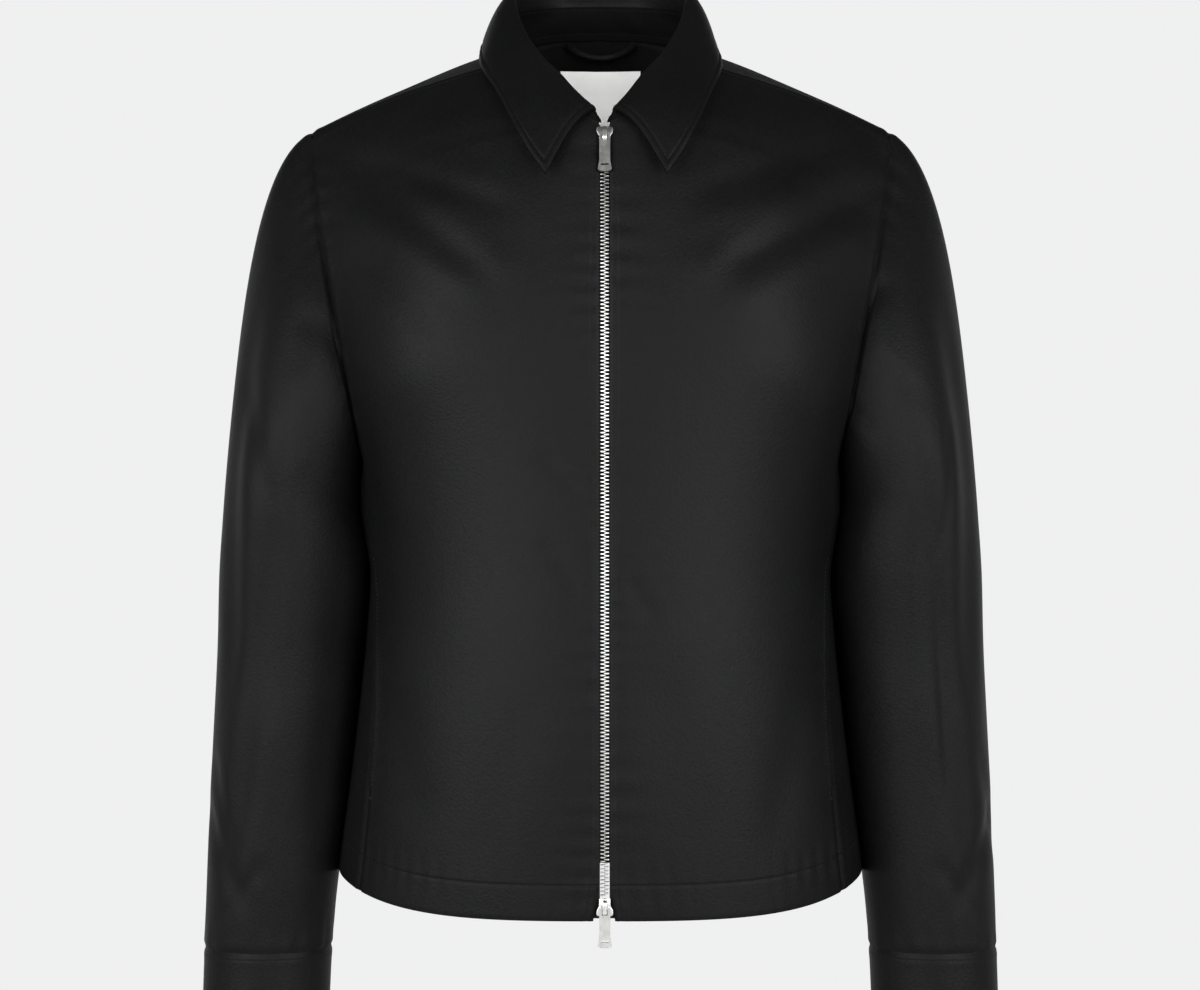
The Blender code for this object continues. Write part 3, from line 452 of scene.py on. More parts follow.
def through(table, places, corners=()):
    # Smooth values through a table's rows; a path may turn sharply at the rows in corners.
    table = np.asarray(table, float)
    places = np.atleast_1d(np.asarray(places, float))
    ends = [0, *corners, len(table) - 1]
    result = np.empty((len(places), table.shape[1]))
    for first, last in zip(ends[:-1], ends[1:]):
        rows = table[first:last + 1]
        slope = np.gradient(rows, axis=0)
        inside = (places >= first) & (places <= last)
        local = places[inside] - first
        step = np.clip(np.floor(local).astype(int), 0, last - first - 1)
        f = (local - step)[:, None]
        result[inside] = (
            (2 * f**3 - 3 * f**2 + 1) * rows[step] + (f**3 - 2 * f**2 + f) * slope[step]
            + (3 * f**2 - 2 * f**3) * rows[step + 1] + (f**3 - f**2) * slope[step + 1])
    return result


def smooth(values):
    values = np.clip(values, 0, 1)
    return values**2 * (3 - 2 * values)


def heading(fall, sweep):
    fall = np.radians(fall)
    sweep = np.radians(sweep)
    return np.stack([np.cos(fall) * np.cos(sweep), np.cos(fall) * np.sin(sweep), -np.sin(fall)], axis=-1)


class Half:
    # Half of the body's front or back: sections from the hem up to the shoulder seam.
    def __init__(self, sections, corner, front, shift=0.0):
        face = -1.0 if front else 1.0
        inner, outer, shape = [], [], []
        for zFront, zSide, zBack, halfWidth, frontDepth, backDepth, gap, seam in bodyRings:
            depth = frontDepth if front else backDepth
            inner.append((gap if front else 0.0, face * depth, zFront if front else zBack))
            outer.append((halfWidth, 0.0, zSide))
            shape.append((0.0, 0.0, -90.0 * face, ringSwell, seam))
        for inX, inY, inZ, outX, outY, outZ, fallIn, fallOut, sweep, swell in sections:
            inner.append((inX, inY, inZ))
            outer.append((outX, outY, outZ))
            shape.append((fallIn, fallOut, sweep, swell, 1.0))
        self.inner = np.array(inner)
        if front:
            self.inner[:, 0] += shift * np.clip(1 - self.inner[:, 0] / shiftReach, 0, 1)
        self.outer = np.array(outer)
        self.shape = shape
        self.pit = len(bodyRings) - 1
        self.corner = self.pit + 1 + corner

    def points(self, place, u):
        start = through(self.inner, place, [self.corner])
        end = through(self.outer, place, [self.pit])
        fallIn, fallOut, sweep, swell, _ = through(self.shape, place).T
        leave = heading(fallIn, 0 * fallIn)
        arrive = heading(fallOut, sweep)
        chord = end - start
        leave = leave * (swell * np.sum(chord * leave, axis=1))[:, None]
        arrive = arrive * (swell * np.sum(chord * arrive, axis=1))[:, None]
        u = u[:, None]
        result = ((1 - u)**3 * start + 3 * (1 - u)**2 * u * (start + leave)
                  + 3 * (1 - u) * u**2 * (end - arrive) + u**3 * end)
        rise = smooth(u[:, 0])**sideRise
        level = start[:, 2] + (end[:, 2] - start[:, 2]) * rise
        result[:, 2] = np.where(place <= self.pit, level, result[:, 2])
        return result

    def seamShare(self, place):
        return through(self.shape, place)[:, 4]

    def places(self, spacing, ends=(0.5, 0.5)):
        # Places along the table, about spacing apart on the cloth and closer at both ends.
        result = [0.0]
        count = len(self.inner) - 1
        for row in range(count):
            length = abs(self.outer[row + 1, 2] - self.outer[row, 2])  # the same on front and back
            if row > self.pit:
                length = max(np.linalg.norm(self.inner[row + 1] - self.inner[row]),
                             np.linalg.norm(self.outer[row + 1] - self.outer[row]))
            near = ends[0] if row == 0 else ends[1] if row == count - 1 else 1.0
            steps = max(1, math.ceil(length / (spacing * near)))
            result += [row + (i + 1) / steps for i in range(steps)]
        first, last, close = hemRows
        kept = [place for place in result if not first < place < last]
        return np.array(sorted([*kept, *np.linspace(first, last, close)]))


def foldDepth(around, z, folds):
    # How far soft troughs sink the cloth at places given around and up the piece.
    depth = np.zeros_like(z)
    for startAround, startZ, endAround, endZ, width, sink in folds:
        run = np.array([endAround - startAround, endZ - startZ])
        along = ((around - startAround) * run[0] + (z - startZ) * run[1]) / (run @ run)
        off = ((around - startAround) * run[1] - (z - startZ) * run[0]) / math.hypot(*run)
        taper = np.clip(np.minimum(along, 1 - along) * foldGrowth + foldEnd, 0, 1)
        depth += sink * np.exp(-(off / width)**2) * taper**2 * (3 - 2 * taper)
    return depth


def edgeFade(values, reach):
    # Zero at the ends of the values, rising to one over the given share of their range.
    along = (values - values[0]) / (values[-1] - values[0])
    return smooth(np.minimum(along, 1 - along) / reach)


def gridNormals(grid, probe, toward, around=False):
    down = np.gradient(grid, axis=0)
    if around:
        across = (np.roll(grid, -1, axis=1) - np.roll(grid, 1, axis=1)) / 2
    else:
        across = np.gradient(grid, axis=1)
    normals = unit(np.cross(down, across))
    return -normals if np.dot(normals[probe], toward) < 0 else normals


def denser(count, bias):
    # Shares from 0 to 1, closer together at both ends.
    even = np.linspace(0, 1, count + 1)
    return even - bias * np.sin(2 * math.pi * even) / (2 * math.pi)


class Cloth:
    # A panel as a grid of points on its face, with the lengths along it from its edges.
    def __init__(self, grid, facing, closed=False):
        self.grid = grid
        self.facing = facing
        self.closed = closed
        self.base = grid.copy()
        step = np.linalg.norm(np.diff(grid, axis=1), axis=2)
        self.across = np.concatenate([np.zeros((len(grid), 1)), np.cumsum(step, axis=1)], axis=1)
        step = np.linalg.norm(np.diff(grid, axis=0), axis=2)
        self.up = np.concatenate([np.zeros((1, grid.shape[1])), np.cumsum(step, axis=0)], axis=0)
        self.width = self.across[:, -1:]
        self.height = self.up[-1:]

    def sink(self, depth):
        self.grid = self.grid - self.facing * depth[..., None]

    def at(self, rows, columns):
        # Points and facings at fractional rows and columns.
        rows = np.clip(rows, 0, self.grid.shape[0] - 1.001)
        columns = np.clip(columns, 0, self.grid.shape[1] - 1.001)
        r = rows.astype(int)
        c = columns.astype(int)
        fr = (rows - r)[:, None]
        fc = (columns - c)[:, None]

        def blend(values):
            return ((1 - fr) * ((1 - fc) * values[r, c] + fc * values[r, c + 1])
                    + fr * ((1 - fc) * values[r + 1, c] + fc * values[r + 1, c + 1]))
        return blend(self.grid), unit(blend(self.facing))

    def alongRows(self, distance, first=0, last=None, fromLast=False):
        # A line up the panel, at a distance in from its first or last column.
        rows = np.arange(first, (self.grid.shape[0] if last is None else last))
        columns = []
        for r in rows:
            wanted = self.width[r, 0] - distance if fromLast else distance
            columns.append(np.interp(wanted, self.across[r], np.arange(self.grid.shape[1])))
        return self.at(rows.astype(float), np.array(columns))

    def alongColumns(self, distance, first=0, last=None, fromTop=False):
        # A line across the panel, at a distance in from its bottom or top row.
        columns = np.arange(first, (self.grid.shape[1] if last is None else last))
        rows = []
        for c in columns:
            wanted = self.height[0, c] - distance if fromTop else distance
            rows.append(np.interp(wanted, self.up[:, c], np.arange(self.grid.shape[0])))
        return self.at(np.array(rows), columns.astype(float))


def dip(distance, width, depth):
    return depth * np.exp(-(distance / width)**2)


def groove(distance, place, width, depth):
    return depth * np.exp(-((distance - place) / width)**2)


def ripple(along, across, pitch, depth, reach, phase=0.0):
    # Uneven little puckers that fade away from the edge where across is 0.
    wave = np.sin(2 * math.pi * along / pitch + 1.9 * np.sin(along * 31.0 + phase) + phase)
    uneven = 0.62 + 0.38 * np.sin(along * 47.0 + 2.3 * phase)
    return depth * wave * uneven * np.exp(-(across / reach)**2)


def gridFaces(rows, columns, around=False):
    faces = []
    for r in range(rows - 1):
        for c in range(columns if around else columns - 1):
            d = (c + 1) % columns
            below, above = r * columns, (r + 1) * columns
            faces.append((below + c, above + c, above + d, below + d))
    return faces


def tubeFaces(rows, sides):
    # A ring of faces between each two rows, and a cap at either end.
    caps = [tuple(range(sides)), tuple(rows * sides - 1 - i for i in range(sides))]
    return gridFaces(rows, sides, around=True) + caps


def repeatFaces(faces, each, copies):
    return [tuple(i + each * n for i in face) for n in range(copies) for face in faces]


def joinParts(parts):
    # One list of points and one of faces from several of each.
    points, faces, count = [], [], 0
    for some, its in parts:
        points.append(some)
        faces += [tuple(i + count for i in face) for face in its]
        count += len(some)
    return np.vstack(points), faces


def squared(values, power):
    # Pulls a round's cosines or sines towards a square with rounded corners.
    return np.sign(values) * abs(values)**power


def signedVolume(points, faces):
    corners = points[np.array([face[:4] if len(face) > 3 else (*face, face[-1]) for face in faces])]
    first = np.einsum("ij,ij->i", corners[:, 0], np.cross(corners[:, 1], corners[:, 2]))
    second = np.einsum("ij,ij->i", corners[:, 0], np.cross(corners[:, 2], corners[:, 3]))
    return float(np.sum(first + second))


def meshPiece(name, points, faces, finish, body="jacket", uvs=None, sharp=None):
    mesh = bpy.data.meshes.new(name)
    mesh.from_pydata(np.asarray(points).tolist(), [], faces)
    mesh.materials.append(finish)
    mesh.shade_smooth()
    if sharp is not None:
        mesh.set_sharp_from_angle(angle=math.radians(sharp))
    if uvs is not None:
        layer = mesh.uv_layers.new(name="cut")
        corners = np.empty(len(mesh.loops), int)
        mesh.loops.foreach_get("vertex_index", corners)
        layer.data.foreach_set("uv", np.asarray(uvs)[corners].astype(np.float32).ravel())
    piece = addObject(name, mesh)
    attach(piece, body)
    return piece


def faceArea(points, faces):
    a, b, c, d = (points[[face[i] for face in faces]] for i in range(4))
    halves = np.cross(b - a, c - a), np.cross(c - a, d - a)
    return sum(np.linalg.norm(half, axis=1) for half in halves).sum() / 2


def cutSize(skins):
    # The flat size of a cut: right round a closed piece, and over both halves of a double one.
    width = float(max(s.across.max() for s in skins)) * len(skins)
    if skins[0].closed:
        grid = skins[0].grid
        width = float(np.max(np.linalg.norm(grid - np.roll(grid, 1, axis=1), axis=2).sum(axis=1)))
    return width, float(max(s.up.max() for s in skins))


def shell(name, skins, thickness, finish, nodes, faces=None):
    # A closed thin wall on the skins' points, printed with the cut's own size.
    skin = np.vstack([s.grid.reshape(-1, 3) for s in skins])
    facing = np.vstack([s.facing.reshape(-1, 3) for s in skins])
    uvs = np.vstack([np.stack([s.across, s.up], axis=-1).reshape(-1, 2) for s in skins])
    if faces is None:
        faces = gridFaces(*skins[0].grid.shape[:2], around=skins[0].closed)
    used = sorted({i for face in faces for i in face})
    place = np.full(len(skin), -1)
    place[used] = np.arange(len(used))
    faces = [tuple(int(place[i]) for i in face) for face in faces]
    skin, facing, uvs = skin[used], facing[used], uvs[used]
    count = len(skin)
    points = np.vstack([skin, skin - facing * thickness])
    solid = list(faces) + [tuple(i + count for i in reversed(face)) for face in faces]
    edges = {(a, b) for face in faces for a, b in zip(face, face[1:] + face[:1])}
    solid += [(b, a, a + count, b + count) for a, b in sorted(edges) if (b, a) not in edges]
    if signedVolume(points, solid) < 0:
        solid = [tuple(reversed(face)) for face in solid]
    piece = meshPiece(name, points, solid, finish, uvs=np.vstack([uvs, uvs]), sharp=55)
    if finish is clothFinish:
        # the turned edges take a darker, less shiny copy of the twill: painted shade
        piece.data.materials.append(paintedShadeFinish)
        for rim in piece.data.polygons[2 * len(faces):]:
            rim.material_index = 1
    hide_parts(*nodes)
    width, length = cutSize(skins)
    area = faceArea(skin, faces)
    covered = min(1.0, max(leastShare, area / (width * length)))
    covered * width * length
    print("  piece", name, "cut", round(width, 3), "x", round(length, 3), "area", round(area, 4))
    return piece


def mirrored(points, side):
    return points * np.array([side, 1.0, 1.0])


# fronts, back, sleeves and cuffs
bodyLook = {
    "spacing": 3.4 * mm, "columns": 74, "frontBias": 0.72, "backBias": 0.6, "thickness": 1.3 * mm,
    # the seams sink, with a slight puff beside them
    "seamWidth": 2.4 * mm, "seamDepth": 0.9 * mm,
    "puffAt": 5.5 * mm, "puffWidth": 3.0 * mm, "puff": 0.25 * mm,
    "edgeWidth": 1.5 * mm, "edgeRoll": 0.8 * mm, "zipEdgeWidth": 1.3 * mm,
    "hemStitch": 25.8 * mm, "stitchWidth": 1.0 * mm, "stitchDepth": 0.60 * mm,
    "zipStitch": 4.6 * mm, "fineStitchWidth": 0.9 * mm,
    # the pocket's mouth stands open a little: how far, out to where, and its turned edge
    "pocketLift": 1.3 * mm, "pocketReach": 9 * mm, "pocketEnds": 6 * mm, "mouthWidth": 1.0 * mm,
    "mouthDepth": 0.5 * mm, "behindMouth": 6 * mm, "behindDepth": 0.6 * mm,
    # puckers: pitch, depth, reach from the edge
    "zipPucker": (17 * mm, 0.45 * mm, 22 * mm), "sidePucker": (21 * mm, 0.35 * mm, 14 * mm),
    "hemPucker": (14 * mm, 0.48 * mm, 14 * mm), "backHemPucker": (15 * mm, 0.32 * mm, 15 * mm),
    "neckPucker": (7 * mm, 0.40 * mm, 12 * mm), "neckPuckerAt": -0.078, "neckPuckerReach": 0.020,
    # shares of the rows and columns over which folds and creases fade in
    "frontFoldFade": (0.10, 0.16), "frontCreaseFade": (0.05, 0.07), "backCreaseFade": (0.06, 0.10),
    # where the turn across the chest is rounded off, in rows and columns, and how many times
    "softRows": 14.0, "softColumns": 9.0, "softRounds": 110,
}
sleeveLook = {
    # rows beside the armhole's seam, down the cap and down the arm, and the share of the cap for the first
    "seamRows": 6, "capRows": 76, "armRows": 76, "seamShare": 0.04,
    # how steeply the cap leaves the armhole in degrees, at its tip and how much more at its foot
    "tipFall": 24.0, "footFall": 62.0, "liftPower": 1.3, "armStep": 0.3,
    # metres of girth to a radian, as the creases count it
    "girth": 0.058, "foldFade": 0.12, "creaseFade": 0.03,
    # creases weaken on the side next to the body, from this angle on
    "calmFrom": 2.3, "calmReach": 0.5, "calm": 0.6,
    # where the corner below the shoulder's tip is rounded off, in columns and rows, and how many times
    "tipColumns": 12.0, "tipStart": 8, "tipStop": 10, "tipRounds": 90,
    "capPucker": (19 * mm, 0.45 * mm, 16 * mm), "cuffPucker": (16 * mm, 0.5 * mm, 18 * mm),
    "capFrom": -0.20, "capReach": 0.08,
}
cuffLook = {
    "thickness": 1.7 * mm, "seamStitch": 5.0 * mm, "endStitch": 5.5 * mm, "stitchDepth": 0.3 * mm,
    "rows": (0, 0.012, 0.03, 0.05, *np.linspace(0.062, 0.11, 5), *np.linspace(0.15, 0.86, 14),
             *np.linspace(0.885, 0.935, 5), 0.955, 0.975, 0.99, 1.0),
}
# extra soft troughs: side (0 both), from x, z to x, z, width, depth
frontCreases = (
    (-1, 0.200, -0.072, 0.078, -0.172, 0.012, 0.0025),
    (-1, 0.196, -0.113, 0.088, -0.184, 0.013, -0.0016),
    (1, 0.206, -0.103, 0.088, -0.165, 0.011, 0.0022),
    (1, 0.196, -0.132, 0.092, -0.197, 0.016, -0.0024),
    (0, 0.178, -0.128, 0.085, -0.215, 0.016, -0.0022),
    (-1, 0.188, -0.075, 0.065, -0.124, 0.010, 0.0018),
    (1, 0.200, -0.080, 0.064, -0.138, 0.012, -0.0016),
    (1, 0.186, -0.066, 0.064, -0.112, 0.010, 0.0012),
    (-1, 0.176, -0.150, 0.120, -0.215, 0.010, 0.0012),
    (0, 0.150, -0.330, 0.128, -0.470, 0.020, -0.0015),
    (-1, 0.162, -0.440, 0.132, -0.570, 0.018, 0.0014),
    (1, 0.158, -0.420, 0.124, -0.585, 0.015, 0.0016),
    (-1, 0.050, -0.470, 0.090, -0.600, 0.018, 0.0008),
    (1, 0.040, -0.450, 0.070, -0.590, 0.020, 0.0009),
    (-1, 0.046, -0.300, 0.012, -0.328, 0.006, 0.0009),
    (-1, 0.040, -0.360, 0.014, -0.400, 0.007, 0.0008),
    (1, 0.016, -0.385, 0.040, -0.420, 0.007, 0.0008),
)
backCreases = (
    (0, 0.180, -0.160, 0.090, -0.250, 0.015, 0.0020),
    (0, 0.160, -0.110, 0.050, -0.180, 0.014, -0.0014),
    (-1, 0.150, -0.330, 0.070, -0.420, 0.018, 0.0020),
    (1, 0.155, -0.345, 0.080, -0.450, 0.016, 0.0018),
    (-1, 0.030, -0.420, 0.075, -0.590, 0.022, 0.0016),
    (1, 0.055, -0.400, 0.030, -0.580, 0.020, 0.0014),
    (0, 0.140, -0.450, 0.120, -0.600, 0.015, 0.0016),
)
sleeveCreases = (
    (-1, -0.039, -0.241, -0.081, -0.340, 0.011, 0.0022),
    (-1, -0.081, -0.335, -0.086, -0.500, 0.010, 0.0016),
    (-1, -0.083, -0.232, -0.102, -0.320, 0.010, -0.0012),
    (-1, -0.128, -0.350, -0.132, -0.600, 0.020, 0.0030),
    (-1, -0.094, -0.158, -0.160, -0.194, 0.007, 0.0015),
    (-1, -0.072, -0.194, -0.147, -0.241, 0.010, 0.0018),
    (0, -0.046, -0.092, -0.150, -0.126, 0.008, 0.0024),
    (1, -0.070, -0.168, -0.147, -0.222, 0.008, 0.0028),
    (1, -0.085, -0.235, -0.135, -0.280, 0.020, 0.0020),
    (1, -0.054, -0.274, -0.070, -0.373, 0.005, 0.0012),
    (1, -0.070, -0.365, -0.075, -0.560, 0.006, 0.0013),
    (0, 0.045, -0.110, 0.085, -0.230, 0.012, 0.0020),
    (-1, 0.130, -0.300, 0.060, -0.370, 0.012, 0.0020),
    (1, 0.120, -0.320, 0.055, -0.400, 0.013, 0.0018),
    (-1, -0.020, -0.520, -0.060, -0.600, 0.009, 0.0014),
    (1, -0.040, -0.520, -0.005, -0.600, 0.010, 0.0012),
    (0, -0.090, -0.600, -0.050, -0.645, 0.007, 0.0011),
    (0, 0.020, -0.600, 0.060, -0.650, 0.008, 0.0014),
    (0, 0.100, -0.560, 0.080, -0.640, 0.009, 0.0016),
)

# z and how far the body's side stands out below the armhole, beside the sleeve
sideEase = (
    (-0.640, 0.0006), (-0.600, 0.0012), (-0.505, 0.0018), (-0.445, 0.0016), (-0.387, 0.0028),
    (-0.363, 0.0050), (-0.340, 0.0064), (-0.320, 0.0040), (-0.305, 0.0),
)
# where that is strongest from front to back, and its reach
easeMiddle = -0.018
easeReach = 0.027


def easeOut(points):
    heights, amounts = np.array(sideEase).T
    return np.interp(points[..., 2], heights, amounts) * dip(points[..., 1] - easeMiddle, easeReach, 1.0)


def creasesFor(table, side):
    return [row[1:] for row in table if row[0] in (0, side)]


def softenAcross(grid, row, edge):
    # Rounds off the turn that the sections take at a row, less and less towards the edge column.
    s = bodyLook
    rows = np.arange(1, len(grid) - 1)[:, None]
    columns = np.arange(grid.shape[1])[None, :]
    weight = np.exp(-((rows - row) / s["softRows"])**2) * smooth(abs(columns - edge) / s["softColumns"])
    for _ in range(s["softRounds"]):
        grid[1:-1] += weight[..., None] * ((grid[:-2] + grid[2:]) / 2 - grid[1:-1])


def softenTip(grid, tip, capRow):
    # Rounds off the corner that the armhole's tip leaves down the outside of the sleeve.
    s = sleeveLook
    rows = np.arange(1, capRow)[:, None]
    columns = np.arange(grid.shape[1])[None, :]
    ends = smooth(rows / s["tipStart"]) * smooth((capRow - rows) / s["tipStop"])
    weight = np.exp(-((columns - tip) / s["tipColumns"])**2) * ends
    part = grid[1:capRow]
    for _ in range(s["tipRounds"]):
        part += weight[..., None] * ((np.roll(part, 1, axis=1) + np.roll(part, -1, axis=1)) / 2 - part)


def rowAt(places, place):
    return int(np.argmin(abs(places - place)))


def fadeOver(places, shares, reaches):
    return edgeFade(places, reaches[0])[:, None] * edgeFade(shares, reaches[1])[None, :]


def frontSkin(side):
    s = bodyLook
    half = Half(chestSections, chestCorner, True, side * zipMiddle)
    places = half.places(s["spacing"])
    shares = denser(s["columns"], s["frontBias"])
    grid = np.array([half.points(np.full(len(shares), p), shares * half.seamShare([p])[0]) for p in places])
    softenAcross(grid, rowAt(places, half.pit), len(shares) - 1)
    normals = gridNormals(grid, (20, 20), (0, -1, 0))
    x, z = grid[..., 0], grid[..., 2]
    sink = foldDepth(x, z, frontFolds) * fadeOver(places, shares, s["frontFoldFade"])
    sink += foldDepth(x, z, creasesFor(frontCreases, side)) * fadeOver(places, shares, s["frontCreaseFade"])
    return grid - normals * sink[..., None], places, half


def backSkin(side):
    s = bodyLook
    half = Half(backSections, backCorner, False)
    ahead = Half(chestSections, chestCorner, True, side * zipMiddle)
    places = half.places(s["spacing"])
    shares = denser(s["columns"], s["backBias"])
    rows = []
    for place in places:
        seam = ahead.seamShare([min(place, half.pit)])[0] if place <= half.pit else 1.0
        ring = seam + (2 - seam) * shares
        full = np.full(len(shares), place)
        behind = half.points(full, 2 - ring)
        if place <= half.pit:
            before = ahead.points(full, np.minimum(ring, 1.0))
            behind = np.where((ring < 1)[:, None], before, behind)
        rows.append(behind)
    grid = np.array(rows)
    softenAcross(grid, rowAt(places, half.pit), 0)
    normals = gridNormals(grid, (20, len(shares) - 8), (0, 1, 0))
    upFade, acrossFade = s["backCreaseFade"]
    fade = edgeFade(places, upFade)[:, None] * smooth(shares / acrossFade)[None, :]
    # no creases ahead of the sides or on the middle line
    fade = fade * smooth(grid[..., 1] / 0.05) * smooth(abs(grid[..., 0]) / 0.02)
    sink = foldDepth(grid[..., 0], grid[..., 2], creasesFor(backCreases, side)) * fade
    return grid - normals * sink[..., None], places, half


def sleeveRing(place, angles):
    z, middleX, middleY, halfWidth, halfDepth = through(sleeveSections, [place])[0]
    x = middleX + halfWidth * np.cos(angles)
    y = middleY + halfDepth * np.sin(angles)
    return np.stack([x, y, np.full(len(angles), z)], axis=1)


def ringAngles(armhole, tip):
    loop = np.vstack([armhole, armhole[:1]])
    walked = np.concatenate([[0], np.cumsum(np.linalg.norm(np.diff(loop, axis=0), axis=1))])
    before = walked[:tip + 1] / walked[tip]
    behind = (walked[tip:-1] - walked[tip]) / (walked[-1] - walked[tip])
    return np.concatenate([-np.pi + np.pi * before, np.pi * behind[1:]])


def capRows(armhole, angles):
    # Rows from the armhole over the cap to the first ring of the arm.
    s = sleeveLook
    target = sleeveRing(0.0, angles)
    leaving = unit((sleeveRing(s["armStep"], angles) - target) / s["armStep"])
    high = (armhole[:, 2:3] - armhole[:, 2].min()) / np.ptp(armhole[:, 2])
    lift = high**s["liftPower"]
    outward = heading(s["tipFall"] + s["footFall"] * (1 - high[:, 0]), 0 * high[:, 0])
    forward = np.zeros_like(armhole)
    forward[:, 1] = np.sin(angles) * capForward * np.sin(np.pi * high[:, 0])
    start = outward * (pitReach + (shoulderReach - pitReach) * lift) + forward
    finish = leaving * (pitReach + (capDrop - pitReach) * lift)
    beside = np.linspace(0, s["seamShare"], s["seamRows"])[:-1]
    return [(2 * v**3 - 3 * v**2 + 1) * armhole + (v**3 - 2 * v**2 + v) * start
            + (3 * v**2 - 2 * v**3) * target + (v**3 - v**2) * finish
            for v in (*beside, *np.linspace(s["seamShare"], 1, s["capRows"]))]


def sleeveSkin(armhole, tip, side):
    s = sleeveLook
    angles = ringAngles(armhole, tip)
    rows = capRows(armhole, angles)
    capRow = len(rows) - 1
    last = len(sleeveSections) - 2
    for place in (*np.linspace(0, last, s["armRows"])[1:-1], last - 0.05, last - 0.02, last):
        rows.append(sleeveRing(place, angles))
    grid = np.array(rows)
    softenTip(grid, tip, capRow)
    normals = gridNormals(grid, (capRow, tip), (1, 0, 0), around=True)
    girth = np.broadcast_to(angles * s["girth"], grid.shape[:2])
    z = grid[..., 2]
    rowNumbers = np.arange(len(rows), dtype=float)
    foldFade, creaseFade = (edgeFade(rowNumbers, s[key])[:, None] for key in ("foldFade", "creaseFade"))
    sink = foldDepth(girth, z, sleeveFolds) * foldFade
    sink += foldDepth(girth, z, creasesFor(sleeveCreases, side)) * creaseFade
    calm = s["calm"] * smooth((abs(angles) - s["calmFrom"]) / s["calmReach"])[None, :]
    return grid - normals * (sink * (1 - calm))[..., None], angles, capRow


def cuffSkin(angles):
    last = len(sleeveSections) - 2
    return np.array([sleeveRing(last + row, angles) for row in cuffLook["rows"]])


def joinFacings(*views):
    # Gives the edges of pieces that meet the same facing.
    mean = unit(sum(view.copy() for view in views))
    for view in views:
        view[...] = mean


def seamShape(distance):
    s = bodyLook
    puffed = groove(distance, s["puffAt"], s["puffWidth"], s["puff"])
    return dip(distance, s["seamWidth"], s["seamDepth"]) - puffed


def hemShape(fromHem):
    s = bodyLook
    stitches = groove(fromHem, s["hemStitch"], s["stitchWidth"], s["stitchDepth"])
    return dip(fromHem, s["edgeWidth"], s["edgeRoll"]) + stitches


def pocketShare(z):
    # One beside the pocket's mouth and zero above and below it.
    ends = bodyLook["pocketEnds"]
    return smooth((z - pocketFoot) / ends) * smooth((pocketTop - z) / ends)


def sinkFront(cloth, side, neckRow):
    s = bodyLook
    fromZip = cloth.across
    fromSeam = cloth.width - cloth.across
    z = cloth.base[..., 2]
    pocket = pocketShare(z)
    depth = seamShape(fromSeam) * (1 - pocket) + seamShape(cloth.height - cloth.up)
    depth += pocket * (dip(fromSeam, s["mouthWidth"], s["mouthDepth"])
                       - dip(fromSeam, s["pocketReach"], s["pocketLift"]))
    zipEdge = dip(fromZip, s["zipEdgeWidth"], s["edgeRoll"])
    zipEdge += groove(fromZip, s["zipStitch"], s["fineStitchWidth"], s["stitchDepth"])
    depth += np.where((np.arange(len(cloth.grid)) <= neckRow)[:, None], zipEdge, 0)
    depth += hemShape(cloth.up)
    depth += ripple(z, fromZip, *s["zipPucker"], side) * smooth(fromZip / 0.002)
    depth += ripple(fromZip, cloth.up - s["hemStitch"], *s["hemPucker"], 2.0 + side)
    nearNeck = dip(z - s["neckPuckerAt"], s["neckPuckerReach"], 1.0)
    depth += ripple(z, fromZip, *s["neckPucker"], 5.0 + side) * smooth(fromZip / 0.003) * nearNeck
    depth += ripple(z, fromSeam, *s["sidePucker"], 4.0 + side)
    cloth.sink(depth - easeOut(cloth.base))


def sinkBack(cloth, side):
    s = bodyLook
    pocket = pocketShare(cloth.base[..., 2])
    depth = seamShape(cloth.across) + pocket * dip(cloth.across, s["behindMouth"], s["behindDepth"])
    depth += seamShape(cloth.height - cloth.up) + hemShape(cloth.up)
    fromMiddle = cloth.width - cloth.across
    puckers = ripple(cloth.across, cloth.up - s["hemStitch"], *s["backHemPucker"], side)
    depth += puckers * smooth(fromMiddle / 0.02)
    cloth.sink(depth - easeOut(cloth.base))


def sinkSleeve(cloth, side):
    s = sleeveLook
    capHigh = smooth((cloth.base[..., 2] - s["capFrom"]) / s["capReach"])
    fromCuff = cloth.height - cloth.up
    depth = seamShape(cloth.up) + seamShape(fromCuff)
    depth += ripple(cloth.across, cloth.up, *s["capPucker"], side) * (0.4 + 0.6 * capHigh)
    depth += ripple(cloth.across, fromCuff, *s["cuffPucker"], 1 + side)
    cloth.sink(depth)


def sinkCuff(cloth):
    s = bodyLook
    fromEnd = cloth.height - cloth.up
    depth = seamShape(cloth.up) + dip(fromEnd, s["edgeWidth"], s["edgeRoll"])
    for distance, stitches in ((fromEnd, "endStitch"), (cloth.up, "seamStitch")):
        depth += groove(distance, cuffLook[stitches], s["fineStitchWidth"], cuffLook["stitchDepth"])
    cloth.sink(depth)


